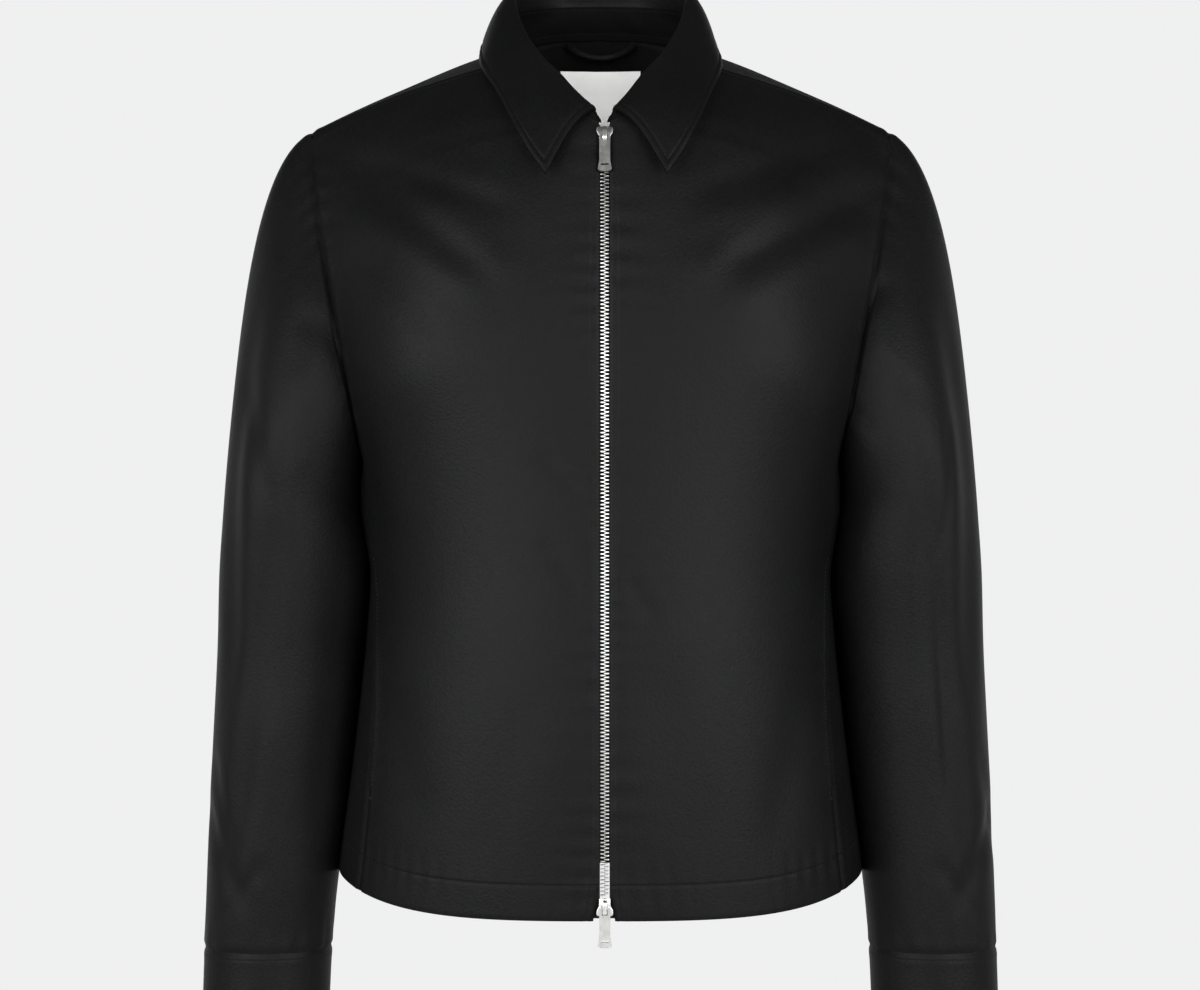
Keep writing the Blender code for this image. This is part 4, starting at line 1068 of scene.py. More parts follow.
def dressSide(side, word):
    # The skins of one side with facings that agree along their seams, then the pieces on them.
    back, backPlaces, backHalf = backSkin(side)
    pit = rowAt(backPlaces, backHalf.pit)
    neck = rowAt(backPlaces, backHalf.corner)
    behind = gridNormals(back, (20, back.shape[1] - 8), (0, 1, 0))
    behind[:neck + 1, -1, 0] = 0
    behind[:neck + 1, -1] = unit(behind[:neck + 1, -1])
    front, places, half = frontSkin(side)
    frontPit = rowAt(places, half.pit)
    frontNeck = rowAt(places, half.corner)
    ahead = gridNormals(front, (20, 20), (0, -1, 0))
    joinFacings(ahead[:frontPit, -1], behind[:pit, 0])
    joinFacings(ahead[-1], behind[-1, ::-1])
    armhole = np.vstack([front[frontPit:, -1], back[-2:pit:-1, 0]])
    tip = len(front) - 1 - frontPit
    sleeve, angles, capRow = sleeveSkin(armhole, tip, side)
    around = gridNormals(sleeve, (capRow, tip), (1, 0, 0), around=True)
    rim = np.vstack([ahead[frontPit:, -1], behind[-2:pit:-1, 0]])
    rim[0] = unit(rim[0] + behind[pit, 0])
    rim = unit(rim + around[0])
    for _ in range(6):
        rim = unit(np.roll(rim, 1, axis=0) + 2 * rim + np.roll(rim, -1, axis=0))
    around[0] = rim
    ahead[frontPit:, -1] = rim[:tip + 1]
    behind[-2:pit:-1, 0] = rim[tip + 1:]
    behind[-1, 0] = rim[tip]
    behind[pit, 0] = rim[0]
    cuff = cuffSkin(angles)
    cuffFacing = gridNormals(cuff, (8, tip), (1, 0, 0), around=True)
    joinFacings(around[-1], cuffFacing[0])

    frontCloth = Cloth(mirrored(front, side), mirrored(ahead, side))
    backCloth = Cloth(mirrored(back, side), mirrored(behind, side))
    sleeveCloth = Cloth(mirrored(sleeve, side), mirrored(around, side), closed=True)
    cuffCloth = Cloth(mirrored(cuff, side), mirrored(cuffFacing, side), closed=True)
    sinkFront(frontCloth, side, frontNeck)
    sinkBack(backCloth, side)
    sinkSleeve(sleeveCloth, side)
    sinkCuff(cuffCloth)
    for piece, cloth, thickness, restsOn in (
            ("front_" + word, frontCloth, bodyLook["thickness"], "collar_fall"),
            ("sleeve_" + word, sleeveCloth, bodyLook["thickness"], "back"),
            ("cuff_" + word, cuffCloth, cuffLook["thickness"], "sleeve_" + word)):
        shell(piece + "_cloth", [cloth], thickness, clothFinish, [piece])
    return {"front": frontCloth, "back": backCloth, "cuff": cuffCloth, "word": word, "frontNeck": frontNeck,
            "neck": neck}


def dressBack(left, right):
    # One back from both halves, which share their points on the middle line up to the neck.
    rows, columns = right["back"].grid.shape[:2]
    count = rows * columns
    neck = right["neck"]
    faces = gridFaces(rows, columns)

    def leftIndex(i):
        shared = i % columns == columns - 1 and i // columns <= neck
        return i if shared else i + count

    faces = faces + [tuple(leftIndex(i) for i in reversed(face)) for face in faces]
    shell("back_cloth", [right["back"], left["back"]], bodyLook["thickness"], clothFinish, ["back"],
          faces=faces)


leftSide = dressSide(-1.0, "left")
rightSide = dressSide(1.0, "right")
dressBack(leftSide, rightSide)
print("stage: fronts, back, sleeves and cuffs dressed")

# collar
collarLook = {
    "thickness": 2.0 * mm, "spacing": 2.6 * mm,
    # columns round the neck: even ones up to so far from each end, then close ones at these distances in mm
    "evenColumns": 76, "evenEnd": 9.2 * mm,
    "endColumns": (8.4, 7.6, 6.9, 6.2, 5.5, 4.8, 4.0, 3.0, 2.0, 1.1, 0.5, 0),
    # how far the stand's foot goes down into the neck seam, and inwards above and below it
    "tuck": 3.2 * mm, "tuckIn": 0.6 * mm, "footIn": 1.9 * mm, "lean": 0.08,
    # rows up the stand in thirds, up the leg to the roll, over the roll, and down the leaf
    "standRows": (0, 0.1, 0.2, *np.linspace(0.35, 2.65, 10), 2.8, 2.9, 3.0),
    "legRows": (0, 0.06, 0.14, 0.3, 0.5, 0.75, 1.0), "rollRows": 9,
    "leafRows": (*np.linspace(0, 0.88, 25), *np.linspace(0.892, 0.952, 10), 0.966, 0.978, 0.988, 0.995, 1.0),
    # the bow of a leaf that flares by rollFlare, and how far the leaf's curve runs on from either end
    "fullBow": 0.004, "leaveReach": 0.30, "endReach": 0.33,
    "seamWidth": 1.8 * mm, "seamDepth": 0.7 * mm, "edgeWidth": 1.2 * mm, "edgeDepth": 0.45 * mm,
    "footDepth": 0.4 * mm, "topStitch": 3.0 * mm, "footStitch": 2.4 * mm, "standStitchWidth": 0.8 * mm,
    "standStitchDepth": 0.25 * mm, "stitchIn": 6.0 * mm, "stitchWidth": 1.0 * mm, "stitchDepth": 0.60 * mm,
    "puffAt": 3.2 * mm, "puffWidth": 1.6 * mm, "puff": 0.24 * mm,
    # ripples: pitch, depth, reach, phase
    "standRipple": (26 * mm, 0.8 * mm, 1.0, 0.7), "standFade": 0.006,
    "leafRipple": (23 * mm, 0.22 * mm, 12 * mm, 0.4), "leafFrom": 0.012, "leafFade": 0.004,
}


def neckSeam():
    chest = Half(chestSections, chestCorner, True)
    behind = Half(backSections, backCorner, False)
    rear = behind.places(collarLook["spacing"])
    fore = chest.places(collarLook["spacing"])[::-1]
    path = np.vstack([
        through(behind.inner, rear[rear >= behind.corner], [behind.corner]),
        through(chest.inner, fore[fore >= chest.corner], [chest.corner])[1:]])
    walked = np.concatenate([[0], np.cumsum(np.linalg.norm(np.diff(path, axis=0), axis=1))])
    s = collarLook
    even = np.linspace(0, walked[-1] - s["evenEnd"], s["evenColumns"])
    even = np.concatenate([even, walked[-1] - np.array(s["endColumns"]) * mm])
    path = np.stack([np.interp(even, walked, path[:, i]) for i in range(3)], axis=1)
    return path, even / walked[-1]


def collarLines(side):
    seam, shares = neckSeam()
    table = np.array(collarSections)
    stations = np.interp(shares, table[:, 0], np.arange(len(table)))
    roll, edge = np.split(through(table, stations)[:, 1:7], 2, axis=1)
    stand, bow, shift = through(table, stations)[:, 7:].T
    aside = zipMiddle * np.clip(1 - seam[:, 0] / shiftReach, 0, 1) * np.clip(shares * 4 - 2, 0, 1)
    seam[:, 0] += side * aside
    roll[:, 0] += side * aside
    edge[:, 0] += side * shift
    return seam, roll, edge, stand, bow


def bothSides(make):
    mirror = np.array([-1.0, 1.0, 1.0])
    left, right = make(-1.0), make(1.0)
    return np.concatenate([(left * mirror)[::-1], right[1:]], axis=0)


def collarSkins():
    # The stand from the neck seam up, and the leaf from the stand's top over the roll to its edge.
    s = collarLook
    up = np.array([0, 0, 1.0])

    def frameOf(side):
        seam, roll, edge, stand, bow = collarLines(side)
        run = unit(np.gradient(roll, axis=0))
        run[0] = (1.0, 0.0, 0.0)
        rise = unit(up - run * run[:, 2:])
        out = np.cross(rise, run)
        centre = roll - rise * rollRadius
        foot = seam + up * footRise - unit(out * [1, 1, 0]) * s["footIn"]
        inside = centre - out * rollRadius
        top = foot + (inside - foot) * stand[:, None]
        return foot, top, out, inside, centre, edge, bow[:, None], rise

    def standHalf(side):
        foot, top, out = frameOf(side)[:3]
        lean = out * s["lean"] * np.linalg.norm(top - foot, axis=1, keepdims=True)
        corners = [foot, foot + (top - foot) / 3 + lean, foot + (top - foot) * 2 / 3 + lean, top]
        places = np.array(s["standRows"])
        tucked = foot - up * s["tuck"] - unit(out * [1, 1, 0]) * s["tuckIn"]
        return np.stack([np.vstack([under, through(rows, places)])
                         for under, rows in zip(tucked, np.stack(corners, axis=1))])

    def fallHalf(side):
        top, out, inside, centre, edge, bow, rise = frameOf(side)[1:]
        leg = inside - top
        columns = [top + leg * u for u in s["legRows"]]
        along = unit(edge - centre)
        turn = np.arctan2(np.sum(along * out, axis=1), -np.sum(along * rise, axis=1))[:, None]
        turn = turn + rollFlare * bow / s["fullBow"]
        for part in np.linspace(0, 1, s["rollRows"])[1:]:
            bend = np.pi + (turn - np.pi) * part
            columns.append(centre + rollRadius * (out * np.cos(bend) + rise * np.sin(bend)))
        start = columns.pop()
        leave = out * np.sin(turn) - rise * np.cos(turn)
        length = np.linalg.norm(edge - start, axis=1, keepdims=True)
        along = unit(edge - start)
        proud = unit(leave - along * np.sum(leave * along, axis=1, keepdims=True))
        ahead = start + leave * length * s["leaveReach"]
        late = edge - along * length * s["endReach"] + proud * bow
        for u in s["leafRows"]:
            columns.append((1 - u)**3 * start + 3 * (1 - u)**2 * u * ahead
                           + 3 * (1 - u) * u**2 * late + u**3 * edge)
        return np.stack(columns, axis=1)

    return bothSides(standHalf), bothSides(fallHalf)


def sinkStand(stand):
    s = collarLook
    fromFoot = abs(stand.across - stand.across[:, 1:2])
    fromFall = stand.width - stand.across
    depth = dip(fromFoot, s["edgeWidth"], s["footDepth"]) + dip(fromFall, s["seamWidth"], s["seamDepth"])
    for distance, stitches in ((fromFall, "topStitch"), (fromFoot, "footStitch")):
        depth += groove(distance, s[stitches], s["standStitchWidth"], s["standStitchDepth"])
    wrinkles = ripple(stand.up * 0.8 + stand.across * 0.6, 0 * stand.up, *s["standRipple"])
    depth += wrinkles * smooth(fromFoot / s["standFade"]) * smooth(fromFall / s["standFade"])
    # the row tucked into the seam stays where it is
    depth[:, 0] = 0
    stand.sink(depth)


def sinkFall(fall):
    s = collarLook
    fromEdge = fall.width - fall.across
    nearest = np.minimum(fromEdge, np.minimum(fall.up, fall.height - fall.up))
    onLeaf = smooth((fall.across - s["leafFrom"]) / s["leafFade"])
    depth = dip(fall.across, s["seamWidth"], s["seamDepth"]) + dip(nearest, s["edgeWidth"], s["edgeDepth"])
    depth += groove(nearest, s["stitchIn"], s["stitchWidth"], s["stitchDepth"])
    depth -= groove(nearest, s["puffAt"], s["puffWidth"], s["puff"])
    depth += ripple(fall.up, fromEdge, *s["leafRipple"]) * onLeaf
    fall.sink(depth)


def dressCollar():
    standGrid, fallGrid = collarSkins()
    middle = len(standGrid) // 2
    standNormals = gridNormals(standGrid, (middle, 5), (0, -1, 0))
    fallNormals = gridNormals(fallGrid, (middle, 14), (0, 0, 1))
    standNormals[:, 0, 2] = 0
    standNormals[:, 0] = unit(standNormals[:, 0])
    joinFacings(standNormals[:, -1], fallNormals[:, 0])
    stand = Cloth(standGrid, standNormals)
    fall = Cloth(fallGrid, fallNormals)
    sinkStand(stand)
    sinkFall(fall)
    # the stand takes the painted-shade copy of the twill, for the shade inside the neck
    shell("collar_stand_cloth", [stand], collarLook["thickness"], paintedShadeFinish, ["collar_stand"])
    shell("collar_fall_cloth", [fall], collarLook["thickness"], clothFinish, ["collar_fall"])
    return stand, fall


standCloth, fallCloth = dressCollar()
print("stage: collar dressed")

# stitches
stitchSettings = {
    "pitch": 3.0 * mm, "length": 2.35 * mm, "radius": 0.24 * mm, "sides": 6, "fromEnds": 1.5 * mm,
    "tackPitch": 0.5 * mm, "tackLength": 1.9 * mm, "tackRadius": 0.26 * mm,
    # a stitch's rings: place along it in lengths, girth in radii, and mm over the cloth
    "stations": (-0.5, -0.40, 0.0, 0.40, 0.5), "girths": (0.35, 0.88, 1.0, 0.88, 0.35),
    "lifts": (-0.16, -0.04, 0.10, -0.04, -0.16),
    # the line behind the pocket's mouth: how far in, how far past the ends, and its bar tacks
    "mouthIn": 6.0 * mm, "mouthPast": 4 * mm, "tackFrom": 0.6, "tackTo": 7.0, "tackPoints": 12,
    "leafFrom": 0.020,
}


def capsules(points, along, normals, length, radius):
    # Many small thread ends, each lying along its own direction with its ends sunk into the cloth.
    s = stitchSettings
    stations = np.array(s["stations"]) * length
    girths = np.array(s["girths"]) * radius
    lifts = np.array(s["lifts"]) * mm
    angles = np.arange(s["sides"]) * 2 * math.pi / s["sides"]
    aside = np.cross(along, normals)
    high = lifts[:, None] + girths[:, None] * np.sin(angles)[None, :]
    wide = girths[:, None] * np.cos(angles)[None, :]
    rings = (along[:, None, None] * stations[None, :, None, None]
             + normals[:, None, None] * high[None, :, :, None]
             + aside[:, None, None] * wide[None, :, :, None])
    grid = points[:, None, None] + rings
    faces = tubeFaces(len(stations), s["sides"])
    return grid.reshape(-1, 3), repeatFaces(faces, len(stations) * s["sides"], len(points))


def stitchLine(line, pitch=None):
    # Even stitches along a line on the cloth, given as its points and facings.
    points, normals = line
    walked = np.concatenate([[0], np.cumsum(np.linalg.norm(np.diff(points, axis=0), axis=1))])
    s = stitchSettings
    places = np.arange(s["fromEnds"], walked[-1] - s["fromEnds"], pitch or s["pitch"])
    spots = np.stack([np.interp(places, walked, points[:, i]) for i in range(3)], axis=1)
    facing = unit(np.stack([np.interp(places, walked, normals[:, i]) for i in range(3)], axis=1))
    ahead = np.stack([np.interp(places + 1 * mm, walked, points[:, i]) for i in range(3)], axis=1)
    along = unit(ahead - spots - facing * np.sum((ahead - spots) * facing, axis=1, keepdims=True))
    return spots, along, facing


def stitchPiece(name, lines, finish=threadFinish, radius=stitchSettings["radius"], tacks=()):
    s = stitchSettings
    runs = [(*stitchLine(line), s["length"], radius) for line in lines]
    for line in tacks:
        spots, along, facing = stitchLine(line, s["tackPitch"])
        runs.append((spots, np.cross(along, facing), facing, s["tackLength"], s["tackRadius"]))
    points, faces = joinParts([capsules(*run) for run in runs])
    meshPiece(name, points, faces, finish)


def closedLine(line):
    return [np.vstack([part, part[:1]]) for part in line]


def stitchBody(side):
    s = stitchSettings
    front, back, cuff, word = side["front"], side["back"], side["cuff"], side["word"]
    zipRow = front.alongRows(bodyLook["zipStitch"], 2, side["frontNeck"] - 2)
    hemRow = front.alongColumns(bodyLook["hemStitch"], 7, front.grid.shape[1] - 1)
    backHem = back.alongColumns(bodyLook["hemStitch"], 1, back.grid.shape[1])
    heights = front.base[:, -1, 2]
    mouth = np.where((heights > pocketFoot - s["mouthPast"]) & (heights < pocketTop + s["mouthPast"]))[0]
    mouthRow = front.alongRows(s["mouthIn"], mouth[0], mouth[-1] + 1, fromLast=True)
    tacks = []
    for row in (mouth[0], mouth[-1]):
        inward = np.linspace(s["tackFrom"], s["tackTo"], s["tackPoints"]) * mm
        columns = [np.interp(front.width[row, 0] - d, front.across[row], np.arange(front.grid.shape[1]))
                   for d in inward]
        tacks.append(front.at(np.full(len(inward), float(row)), np.array(columns)))
    stitchPiece("stitches_front_" + word, [zipRow, hemRow, mouthRow], tacks=tacks)
    stitchPiece("stitches_back_hem_" + word, [backHem])
    atSeam = cuff.alongColumns(cuffLook["seamStitch"])
    atEnd = cuff.alongColumns(cuffLook["endStitch"], fromTop=True)
    stitchPiece("stitches_cuff_" + word, [closedLine(atSeam), closedLine(atEnd)])


def stitchCollar():
    inner = collarLook["stitchIn"]
    fall, stand = fallCloth, standCloth
    rows = np.where((fall.up[:, -1] > inner) & (fall.up[:, -1] < fall.height[0, -1] - inner))[0]
    leafEdge = fall.alongRows(inner, rows[0], rows[-1] + 1, fromLast=True)
    onLeaf = (fall.across[0] > stitchSettings["leafFrom"]) & (fall.across[0] < fall.width[0, 0] - inner)
    columns = np.where(onLeaf)[0]
    ends = [fall.alongColumns(inner, columns[0], columns[-1] + 1, fromTop=top) for top in (False, True)]
    stop = len(stand.grid) - 3
    top = stand.alongRows(collarLook["topStitch"], 3, stop, fromLast=True)
    foot = stand.alongRows(collarLook["footStitch"] + collarLook["tuck"], 3, stop)
    stitchPiece("stitches_collar", [leafEdge, *ends])
    stitchPiece("stitches_collar_stand", [top, foot])


for one in (leftSide, rightSide):
    stitchBody(one)
stitchCollar()
print("stage: stitches sewn")

# zip
zipLook = {
    "pitch": 2.70 * mm, "top": -0.0775, "foot": -0.6150, "depth": 2.45 * mm, "sides": 8, "squareness": 0.6,
    # pitches from the foot to the first tooth, and how much higher the right row stands
    "first": 0.4, "stagger": 0.5, "samples": 160,
}
# a tooth's sections from its head past the middle to its legs on the tape: x, half height, half depth
toothSections = (
    (-0.55, 0.22, 0.55), (-0.40, 0.46, 0.85), (0.15, 0.50, 0.95), (0.60, 0.40, 0.90),
    (1.00, 0.56, 1.10), (2.50, 0.60, 1.15), (2.95, 0.50, 1.00), (3.10, 0.28, 0.70),
)


def zipLine(heights):
    chest = Half(chestSections, chestCorner, True)
    places = np.linspace(0, chest.corner, zipLook["samples"])
    path = through(chest.inner, places, [chest.corner])
    y = np.interp(heights, path[:, 2], path[:, 1])
    lean = np.interp(heights, path[:, 2], np.gradient(path[:, 1], path[:, 2]))
    points = np.stack([np.full(len(heights), zipMiddle), y, heights], axis=1)
    return points, unit(np.stack([0 * lean, -np.ones(len(heights)), lean], axis=1))


def makeTeeth():
    s = zipLook
    sides = s["sides"]
    angles = (np.arange(sides) + 0.5) * 2 * math.pi / sides
    tallShape, deepShape = squared(np.cos(angles), s["squareness"]), squared(np.sin(angles), s["squareness"])
    for side, word, offset in ((-1.0, "left", 0.0), (1.0, "right", s["stagger"])):
        heights = np.arange(s["foot"] + (offset + s["first"]) * s["pitch"], s["top"], s["pitch"])
        spots, normals = zipLine(heights)
        down = np.cross(normals, np.array([1.0, 0, 0]))
        rings = []
        for x, tall, deep in toothSections:
            ring = (spots[:, None] + np.array([side * x * mm, 0, 0]) - normals[:, None] * s["depth"]
                    + down[:, None] * (tallShape * tall * mm)[None, :, None]
                    + normals[:, None] * (deepShape * deep * mm)[None, :, None])
            rings.append(ring)
        grid = np.stack(rings, axis=1)
        one = tubeFaces(len(toothSections), sides)
        if side > 0:
            one = [tuple(reversed(face)) for face in one]
        faces = repeatFaces(one, len(toothSections) * sides, len(heights))
        points = grid.reshape(-1, 3)
        piece = meshPiece("zip_teeth_" + word, points, faces, metalFinish, sharp=50)
        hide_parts("zip_chain")


# half width of a slider's front plate at heights above its pull's pin, for the top one; in mm
plateProfile = (
    (5.9, 4.3), (5.5, 5.4), (4.7, 6.0), (3.0, 6.0), (1.2, 5.5),
    (-0.4, 4.5), (-1.4, 4.1), (-6.2, 4.0), (-6.8, 3.6),
)
sliderLook = {
    # height of the pull's pin, and which way up the slider is
    "top": (-0.0698, 1.0), "bottom": (-0.6222, -1.0),
    # the plate, its gap to the chain, and how far ahead of its back face the pin lies
    "thick": 1.8 * mm, "round": 0.42 * mm, "gap": 0.3 * mm, "pinRise": 1.2 * mm,
    "bridgeWide": 3.0 * mm, "bridgeThick": 1.15 * mm, "bridgeHigh": 3.5 * mm, "bridgeLow": -5.0 * mm,
    "bridgeTop": 5.0 * mm, "bridgeSink": 0.4 * mm, "bridgeRows": 25, "bridgeSides": 12,
    "endSquare": 0.55, "bowSquare": 0.45, "sectionSquare": 0.7,
    "coreHalf": 2.6 * mm, "coreDeep": 4.4 * mm, "coreTop": 4.9 * mm, "coreFoot": -5.6 * mm,
    "coreIn": 1.2 * mm, "coreRound": 0.3 * mm,
    # how much of the rounding a plate's rim keeps halfway round it
    "rimShare": 0.29,
    # the pull's rims
    "rim": 0.22 * mm, "rimSegments": 3, "rimAngle": 32,
}


def slab(outline, front, back, rounding):
    # A plate with rounded rims between two depths; the outline runs round it in x and z.
    outline = np.array(outline)
    run = unit(np.roll(outline, -1, axis=0) - np.roll(outline, 1, axis=0))
    inward = np.stack([-run[:, 1], run[:, 0]], axis=1)
    if np.sum(inward * (outline.mean(0) - outline)) < 0:
        inward = -inward
    share = sliderLook["rimShare"]
    rings = []
    for y, inset in ((front, 1.0), (front + share * rounding, share), (front + rounding, 0.0),
                     (back - rounding, 0.0), (back - share * rounding, share), (back, 1.0)):
        flat = outline + inward * inset * rounding
        rings.append(np.stack([flat[:, 0], np.full(len(flat), y), flat[:, 1]], axis=1))
    return np.array(rings).reshape(-1, 3), tubeFaces(len(rings), len(outline))


def bridgeForm(flip):
    # The bridge over the pull's pin: a round-edged bar bowed out from the plate.
    s = sliderLook
    sides = s["bridgeSides"]
    steps = np.linspace(0, math.pi, s["bridgeRows"])
    ahead = squared(np.cos(steps), s["endSquare"])
    z = np.where(ahead > 0, ahead * s["bridgeTop"], -ahead * s["bridgeLow"]) * flip
    y = (s["bridgeHigh"] - s["bridgeThick"]) / 2 + s["bridgeSink"]
    y = y - np.sin(steps)**s["bowSquare"] * s["bridgeHigh"]
    line = np.stack([0 * z, y, z], axis=1)
    run = unit(np.gradient(line, axis=0))
    out = np.cross(run, np.array([1.0, 0, 0]))
    ring = []
    for angle in np.arange(sides) * 2 * math.pi / sides:
        wide = squared(np.cos(angle), s["sectionSquare"]) * s["bridgeWide"] / 2
        deep = squared(np.sin(angle), s["sectionSquare"]) * s["bridgeThick"] / 2
        ring.append(line + np.array([wide, 0, 0]) + out * deep)
    return np.stack(ring, axis=1).reshape(-1, 3), tubeFaces(len(line), sides)


def outwardFaces(points, faces):
    if signedVolume(points, [face for face in faces if len(face) == 4]) < 0:
        faces = [tuple(reversed(face)) for face in faces]
    return points, faces


def makeSliders():
    s = sliderLook
    back = s["pinRise"]
    for word in ("top", "bottom"):
        height, flip = s[word]
        half = [(w * mm, z * mm * flip) for z, w in plateProfile]
        plate = slab(half + [(-x, z) for x, z in reversed(half)], back, back + s["thick"], s["round"])
        corners = ((1, "coreTop"), (1, "coreFoot"), (-1, "coreFoot"), (-1, "coreTop"))
        core = slab([(x * s["coreHalf"], s[end] * flip) for x, end in corners],
                    back + s["coreIn"], back + s["thick"] + s["coreDeep"], s["coreRound"])
        points, faces = joinParts([outwardFaces(*part) for part in (plate, core, bridgeForm(flip))])
        spot, normal = (values[0] for values in zipLine(np.array([height])))
        lean = math.atan2(normal[2], -normal[1])
        spot = spot + normal * (s["gap"] + s["thick"] + back)
        x, y, z = points.T
        turned = np.stack([x, y * math.cos(lean) + z * math.sin(lean),
                           z * math.cos(lean) - y * math.sin(lean)], axis=1)
        name = "slider_" + word + "_body"
        piece = meshPiece(name, turned + spot, faces, metalFinish, sharp=38)
        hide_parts("slider_" + word)
        makePull(word)


def makePull(word):
    # The pull tab keeps its solid's form, with its rims broken as on cast metal.
    s = sliderLook
    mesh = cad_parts["pull_" + word].data.copy()
    mesh.materials.clear()
    mesh.materials.append(metalFinish)
    piece = addObject("pull_" + word + "_tab", mesh)
    bevel = piece.modifiers.new("rims", "BEVEL")
    bevel.width = s["rim"]
    bevel.segments = s["rimSegments"]
    bevel.limit_method = "ANGLE"
    bevel.angle_limit = math.radians(s["rimAngle"])
    bevel.harden_normals = True
    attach(piece, "pull_" + word)
    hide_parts("pull_" + word)


def paintTapes():
    for name in ("zip_tape_left", "zip_tape_right"):
        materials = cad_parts[name].data.materials
        materials.clear()
        materials.append(tapeFinish)


makeTeeth()
makeSliders()
paintTapes()
print("stage: zip made")

# label, hanger loop and pocket facings


def meshTree(name):
    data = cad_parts[name].data
    corners = [vertex.co.copy() for vertex in data.vertices]
    return BVHTree.FromPolygons(corners, [tuple(face.vertices) for face in data.polygons])


def insideOfBack(tree, x, z):
    return tree.ray_cast(Vector((x, 0.0, z)), Vector((0, 1, 0)))[0].y


labelLook = {
    "columns": 43, "rows": 33, "rowStep": 4, "columnStep": 6, "proud": 1.3 * mm, "thickness": 0.6 * mm,
    "wave": 0.35 * mm, "slant": (190, 60), "across": 130, "phase": 0.6,
    "edgeWidth": 0.8 * mm, "edgeDepth": 0.15 * mm, "stitchIn": 1.8 * mm, "stitchWidth": 0.6 * mm,
    "stitchDepth": 0.12 * mm, "threadRadius": 0.16 * mm,
}


def makeLabel(tree):
    # A cut of woven tape laid on the back's inside, which is measured on a coarser grid.
    s = labelLook
    xs = np.linspace(-labelHalf, labelHalf, s["columns"])
    zs = np.linspace(labelFoot, labelTop, s["rows"])
    fewXs, fewZs = xs[::s["columnStep"]], zs[::s["rowStep"]]
    coarse = np.array([[insideOfBack(tree, x, z) for x in fewXs] for z in fewZs])
    even = np.array([np.interp(xs, fewXs, row) for row in coarse])
    depth = np.array([np.interp(zs, fewZs, even[:, i]) for i in range(len(xs))]).T
    x, z = np.meshgrid(xs, zs)
    wave = s["wave"] * np.sin(x * s["slant"][0] + z * s["slant"][1]) * np.sin(z * s["across"] + s["phase"])
    grid = np.stack([x, depth - s["proud"] - abs(wave), z], axis=-1)
    cloth = Cloth(grid, gridNormals(grid, (10, 20), (0, -1, 0)))
    nearest = np.minimum(np.minimum(cloth.across, cloth.width - cloth.across),
                         np.minimum(cloth.up, cloth.height - cloth.up))
    stitches = groove(nearest, s["stitchIn"], s["stitchWidth"], s["stitchDepth"])
    cloth.sink(dip(nearest, s["edgeWidth"], s["edgeDepth"]) + stitches)
    shell("label_woven", [cloth], s["thickness"], labelFinish, ["label"])
    inset = s["stitchIn"]
    lines = [cloth.alongRows(inset, 2, s["rows"] - 2),
             cloth.alongRows(inset, 2, s["rows"] - 2, fromLast=True),
             cloth.alongColumns(inset, 2, s["columns"] - 2, fromTop=True),
             cloth.alongColumns(inset, 2, s["columns"] - 2)]
    stitchPiece("stitches_label", lines, finish=labelFinish, radius=s["threadRadius"])


loopLook = {
    "columns": 61, "sides": 20, "gap": 1.0 * mm, "sag": 0.88, "sagPower": 0.8, "pinch": 0.25,
    # in mm
    "halfThick": 0.85,
    # the groove along its seam: where round the tube, how wide, how deep
    "seamAt": math.pi * 0.5, "seamWidth": 0.25, "seamDepth": 0.12 * mm,
    "wave": 0.12 * mm, "fineWave": 900, "slowWave": 210, "thickness": 0.5 * mm,
}


def makeLoop(tree):
    # A soft tube of the same cloth, flattened, hanging in a bow from the collar seam.
    s = loopLook
    steps = np.sin(np.linspace(-math.pi / 2, math.pi / 2, s["columns"]))
    bows = 1 - steps**2
    backs = np.array([insideOfBack(tree, loopHalf * t, loopTop + loopTall / 2) for t in steps])
    centre = np.stack([loopHalf * steps, backs - layerGap - s["gap"] - loopStandOff * bows,
                       loopTop - loopSag * s["sag"] * bows**s["sagPower"]], axis=1)
    run = unit(np.gradient(centre, axis=0))
    out = unit(np.cross(run, np.array([0, 0, 1.0])))
    out = np.where((out[:, 1:2] > 0), -out, out)
    rise = np.cross(out, run)
    rise = np.where((rise[:, 2:] < 0), -rise, rise)
    angles = np.arange(s["sides"]) * 2 * math.pi / s["sides"]
    tall = loopTall / 2 * (1 - s["pinch"] * (1 - steps**2))
    ring = (centre[:, None] + out[:, None] * (s["halfThick"] * mm * np.sin(angles))[None, :, None]
            + rise[:, None] * (tall[:, None] * np.cos(angles)[None])[..., None])
    facing = unit(out[:, None] * (np.sin(angles) / s["halfThick"])[None, :, None]
                  + rise[:, None] * (np.cos(angles)[None] / (tall[:, None] / mm))[..., None])
    cloth = Cloth(ring, facing, closed=True)
    seam = np.broadcast_to(groove(angles, s["seamAt"], s["seamWidth"], s["seamDepth"]), cloth.grid.shape[:2])
    cloth.sink(seam + s["wave"] * np.sin(cloth.up * s["fineWave"]) * np.sin(cloth.up * s["slowWave"]))
    shell("hanger_loop_cloth", [cloth], s["thickness"], clothFinish, ["hanger_loop"])


facingLook = {
    "rows": 22, "columns": 11, "bodyRows": 60,
    # the part of the body's ring that is measured, and in how many steps
    "ringFrom": 0.3, "ringTo": 1.4, "ringSteps": 120,
    # how far in the search for the body's inside starts, and the gap left to it
    "reach": 20 * mm, "gap": 0.2 * mm, "wave": 0.2 * mm, "waveTurns": 160, "thickness": 1.0 * mm,
}


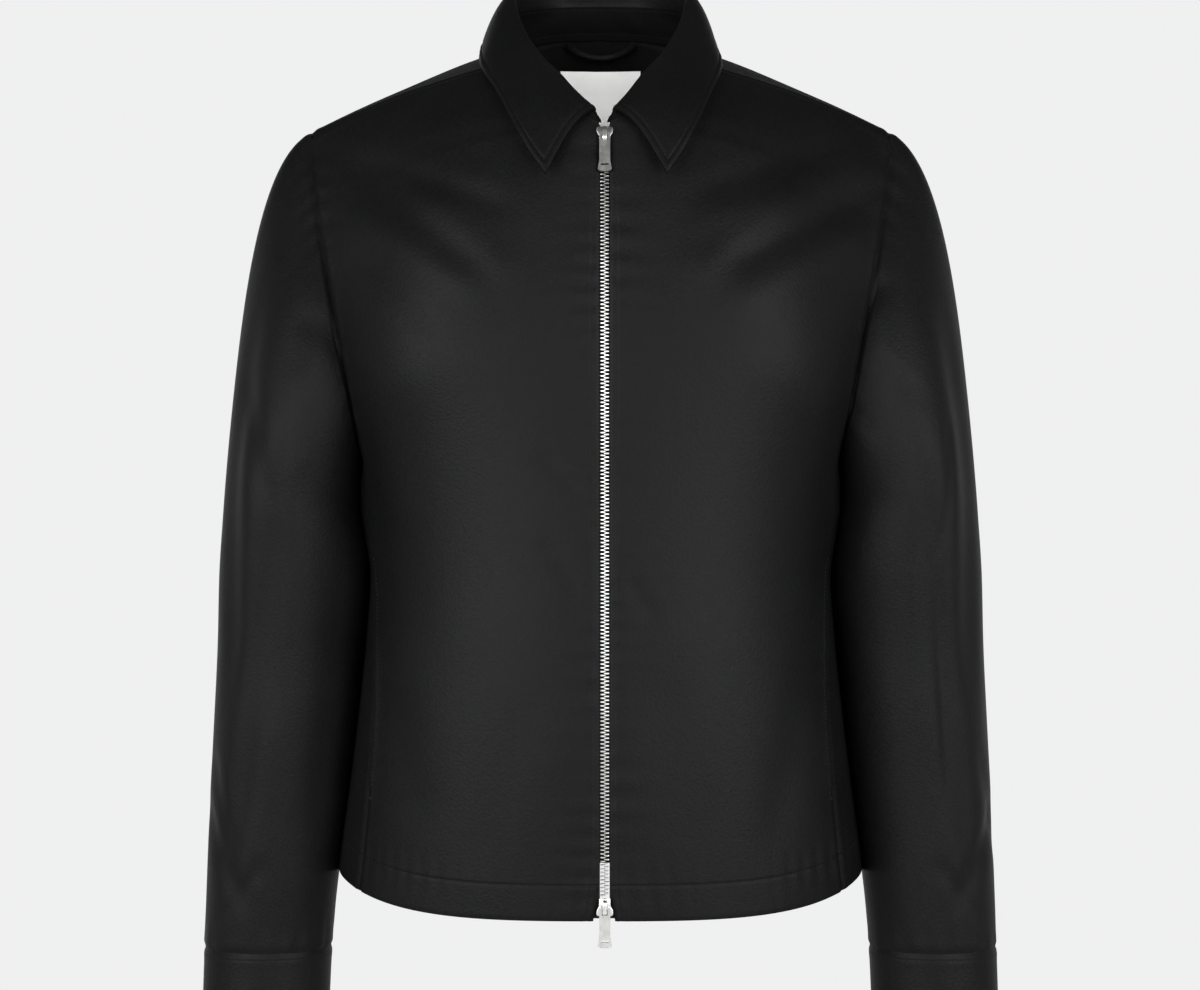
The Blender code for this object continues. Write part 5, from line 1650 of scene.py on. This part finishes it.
def makeFacings():
    # Facings behind the pocket mouths, from the body's own points moved in to its inside.
    s = facingLook
    ahead = Half(chestSections, chestCorner, True)
    behind = Half(backSections, backCorner, False)
    places = np.linspace(0, ahead.pit, s["bodyRows"])
    heights = through([ring[:3] for ring in bodyRings], places)[:, 1]
    ring = np.linspace(s["ringFrom"], s["ringTo"], s["ringSteps"])
    rows = []
    for place in np.linspace(*np.interp([pocketFoot, pocketTop], heights, places), s["rows"]):
        full = np.full(len(ring), place)
        path = np.where((ring < 1)[:, None], ahead.points(full, np.minimum(ring, 1.0)),
                        behind.points(full, np.clip(2 - ring, 0, 1)))
        walked = np.concatenate([[0], np.cumsum(np.linalg.norm(np.diff(path, axis=0), axis=1))])
        at = np.interp(ahead.seamShare([place])[0], ring, walked)
        wanted = np.linspace(at - facingAhead, at + facingBehind, s["columns"])
        rows.append(np.stack([np.interp(wanted, walked, path[:, i]) for i in range(3)], axis=1))
    for side, word in ((-1.0, "left"), (1.0, "right")):
        grid = mirrored(np.array(rows), side)
        normals = gridNormals(grid, (10, 5), (side, -0.5, 0))
        trees = [meshTree("back"), meshTree("front_" + word)]
        for spot in np.ndindex(grid.shape[:2]):
            start = Vector(grid[spot] - normals[spot] * s["reach"])
            nearest = min(tree.ray_cast(start, Vector(normals[spot]))[3] or 1.0 for tree in trees)
            grid[spot] = np.array(start) + normals[spot] * (nearest - layerGap - s["gap"])
        cloth = Cloth(grid, normals)
        cloth.sink(s["wave"] * np.sin(cloth.up * s["waveTurns"]))
        name = "pocket_facing_" + word
        shell(name + "_cloth", [cloth], s["thickness"], clothFinish, [name])


backTree = meshTree("back")
makeLabel(backTree)
makeLoop(backTree)
makeFacings()
print("stage: label, loop and facings made")

# floor
floorSettings = {
    "height": -1.35, "radius": 2.4, "sides": 72, "roughness": 0.9, "grainScale": 3.0,
    "dark": (0.60, 0.60, 0.60), "light": (0.62, 0.62, 0.62),
}


def makeFloor():
    s = floorSettings
    sides = s["sides"]
    points = [(0, 0, s["height"])]
    for angle in np.linspace(0, 2 * math.pi, sides + 1)[:-1]:
        points.append((s["radius"] * math.cos(angle), s["radius"] * math.sin(angle), s["height"]))
    mesh = bpy.data.meshes.new("floor")
    mesh.from_pydata(points, [], [(0, i, i % sides + 1) for i in range(1, sides + 1)])
    finish = Finish("pale_floor", Roughness=s["roughness"])
    grain = finish.noise(finish.place("Object"), s["grainScale"])
    finish.set("Base Color", finish.mix(grain, s["dark"], s["light"]))
    mesh.materials.append(finish.material)
    addObject("floor", mesh)


makeFloor()
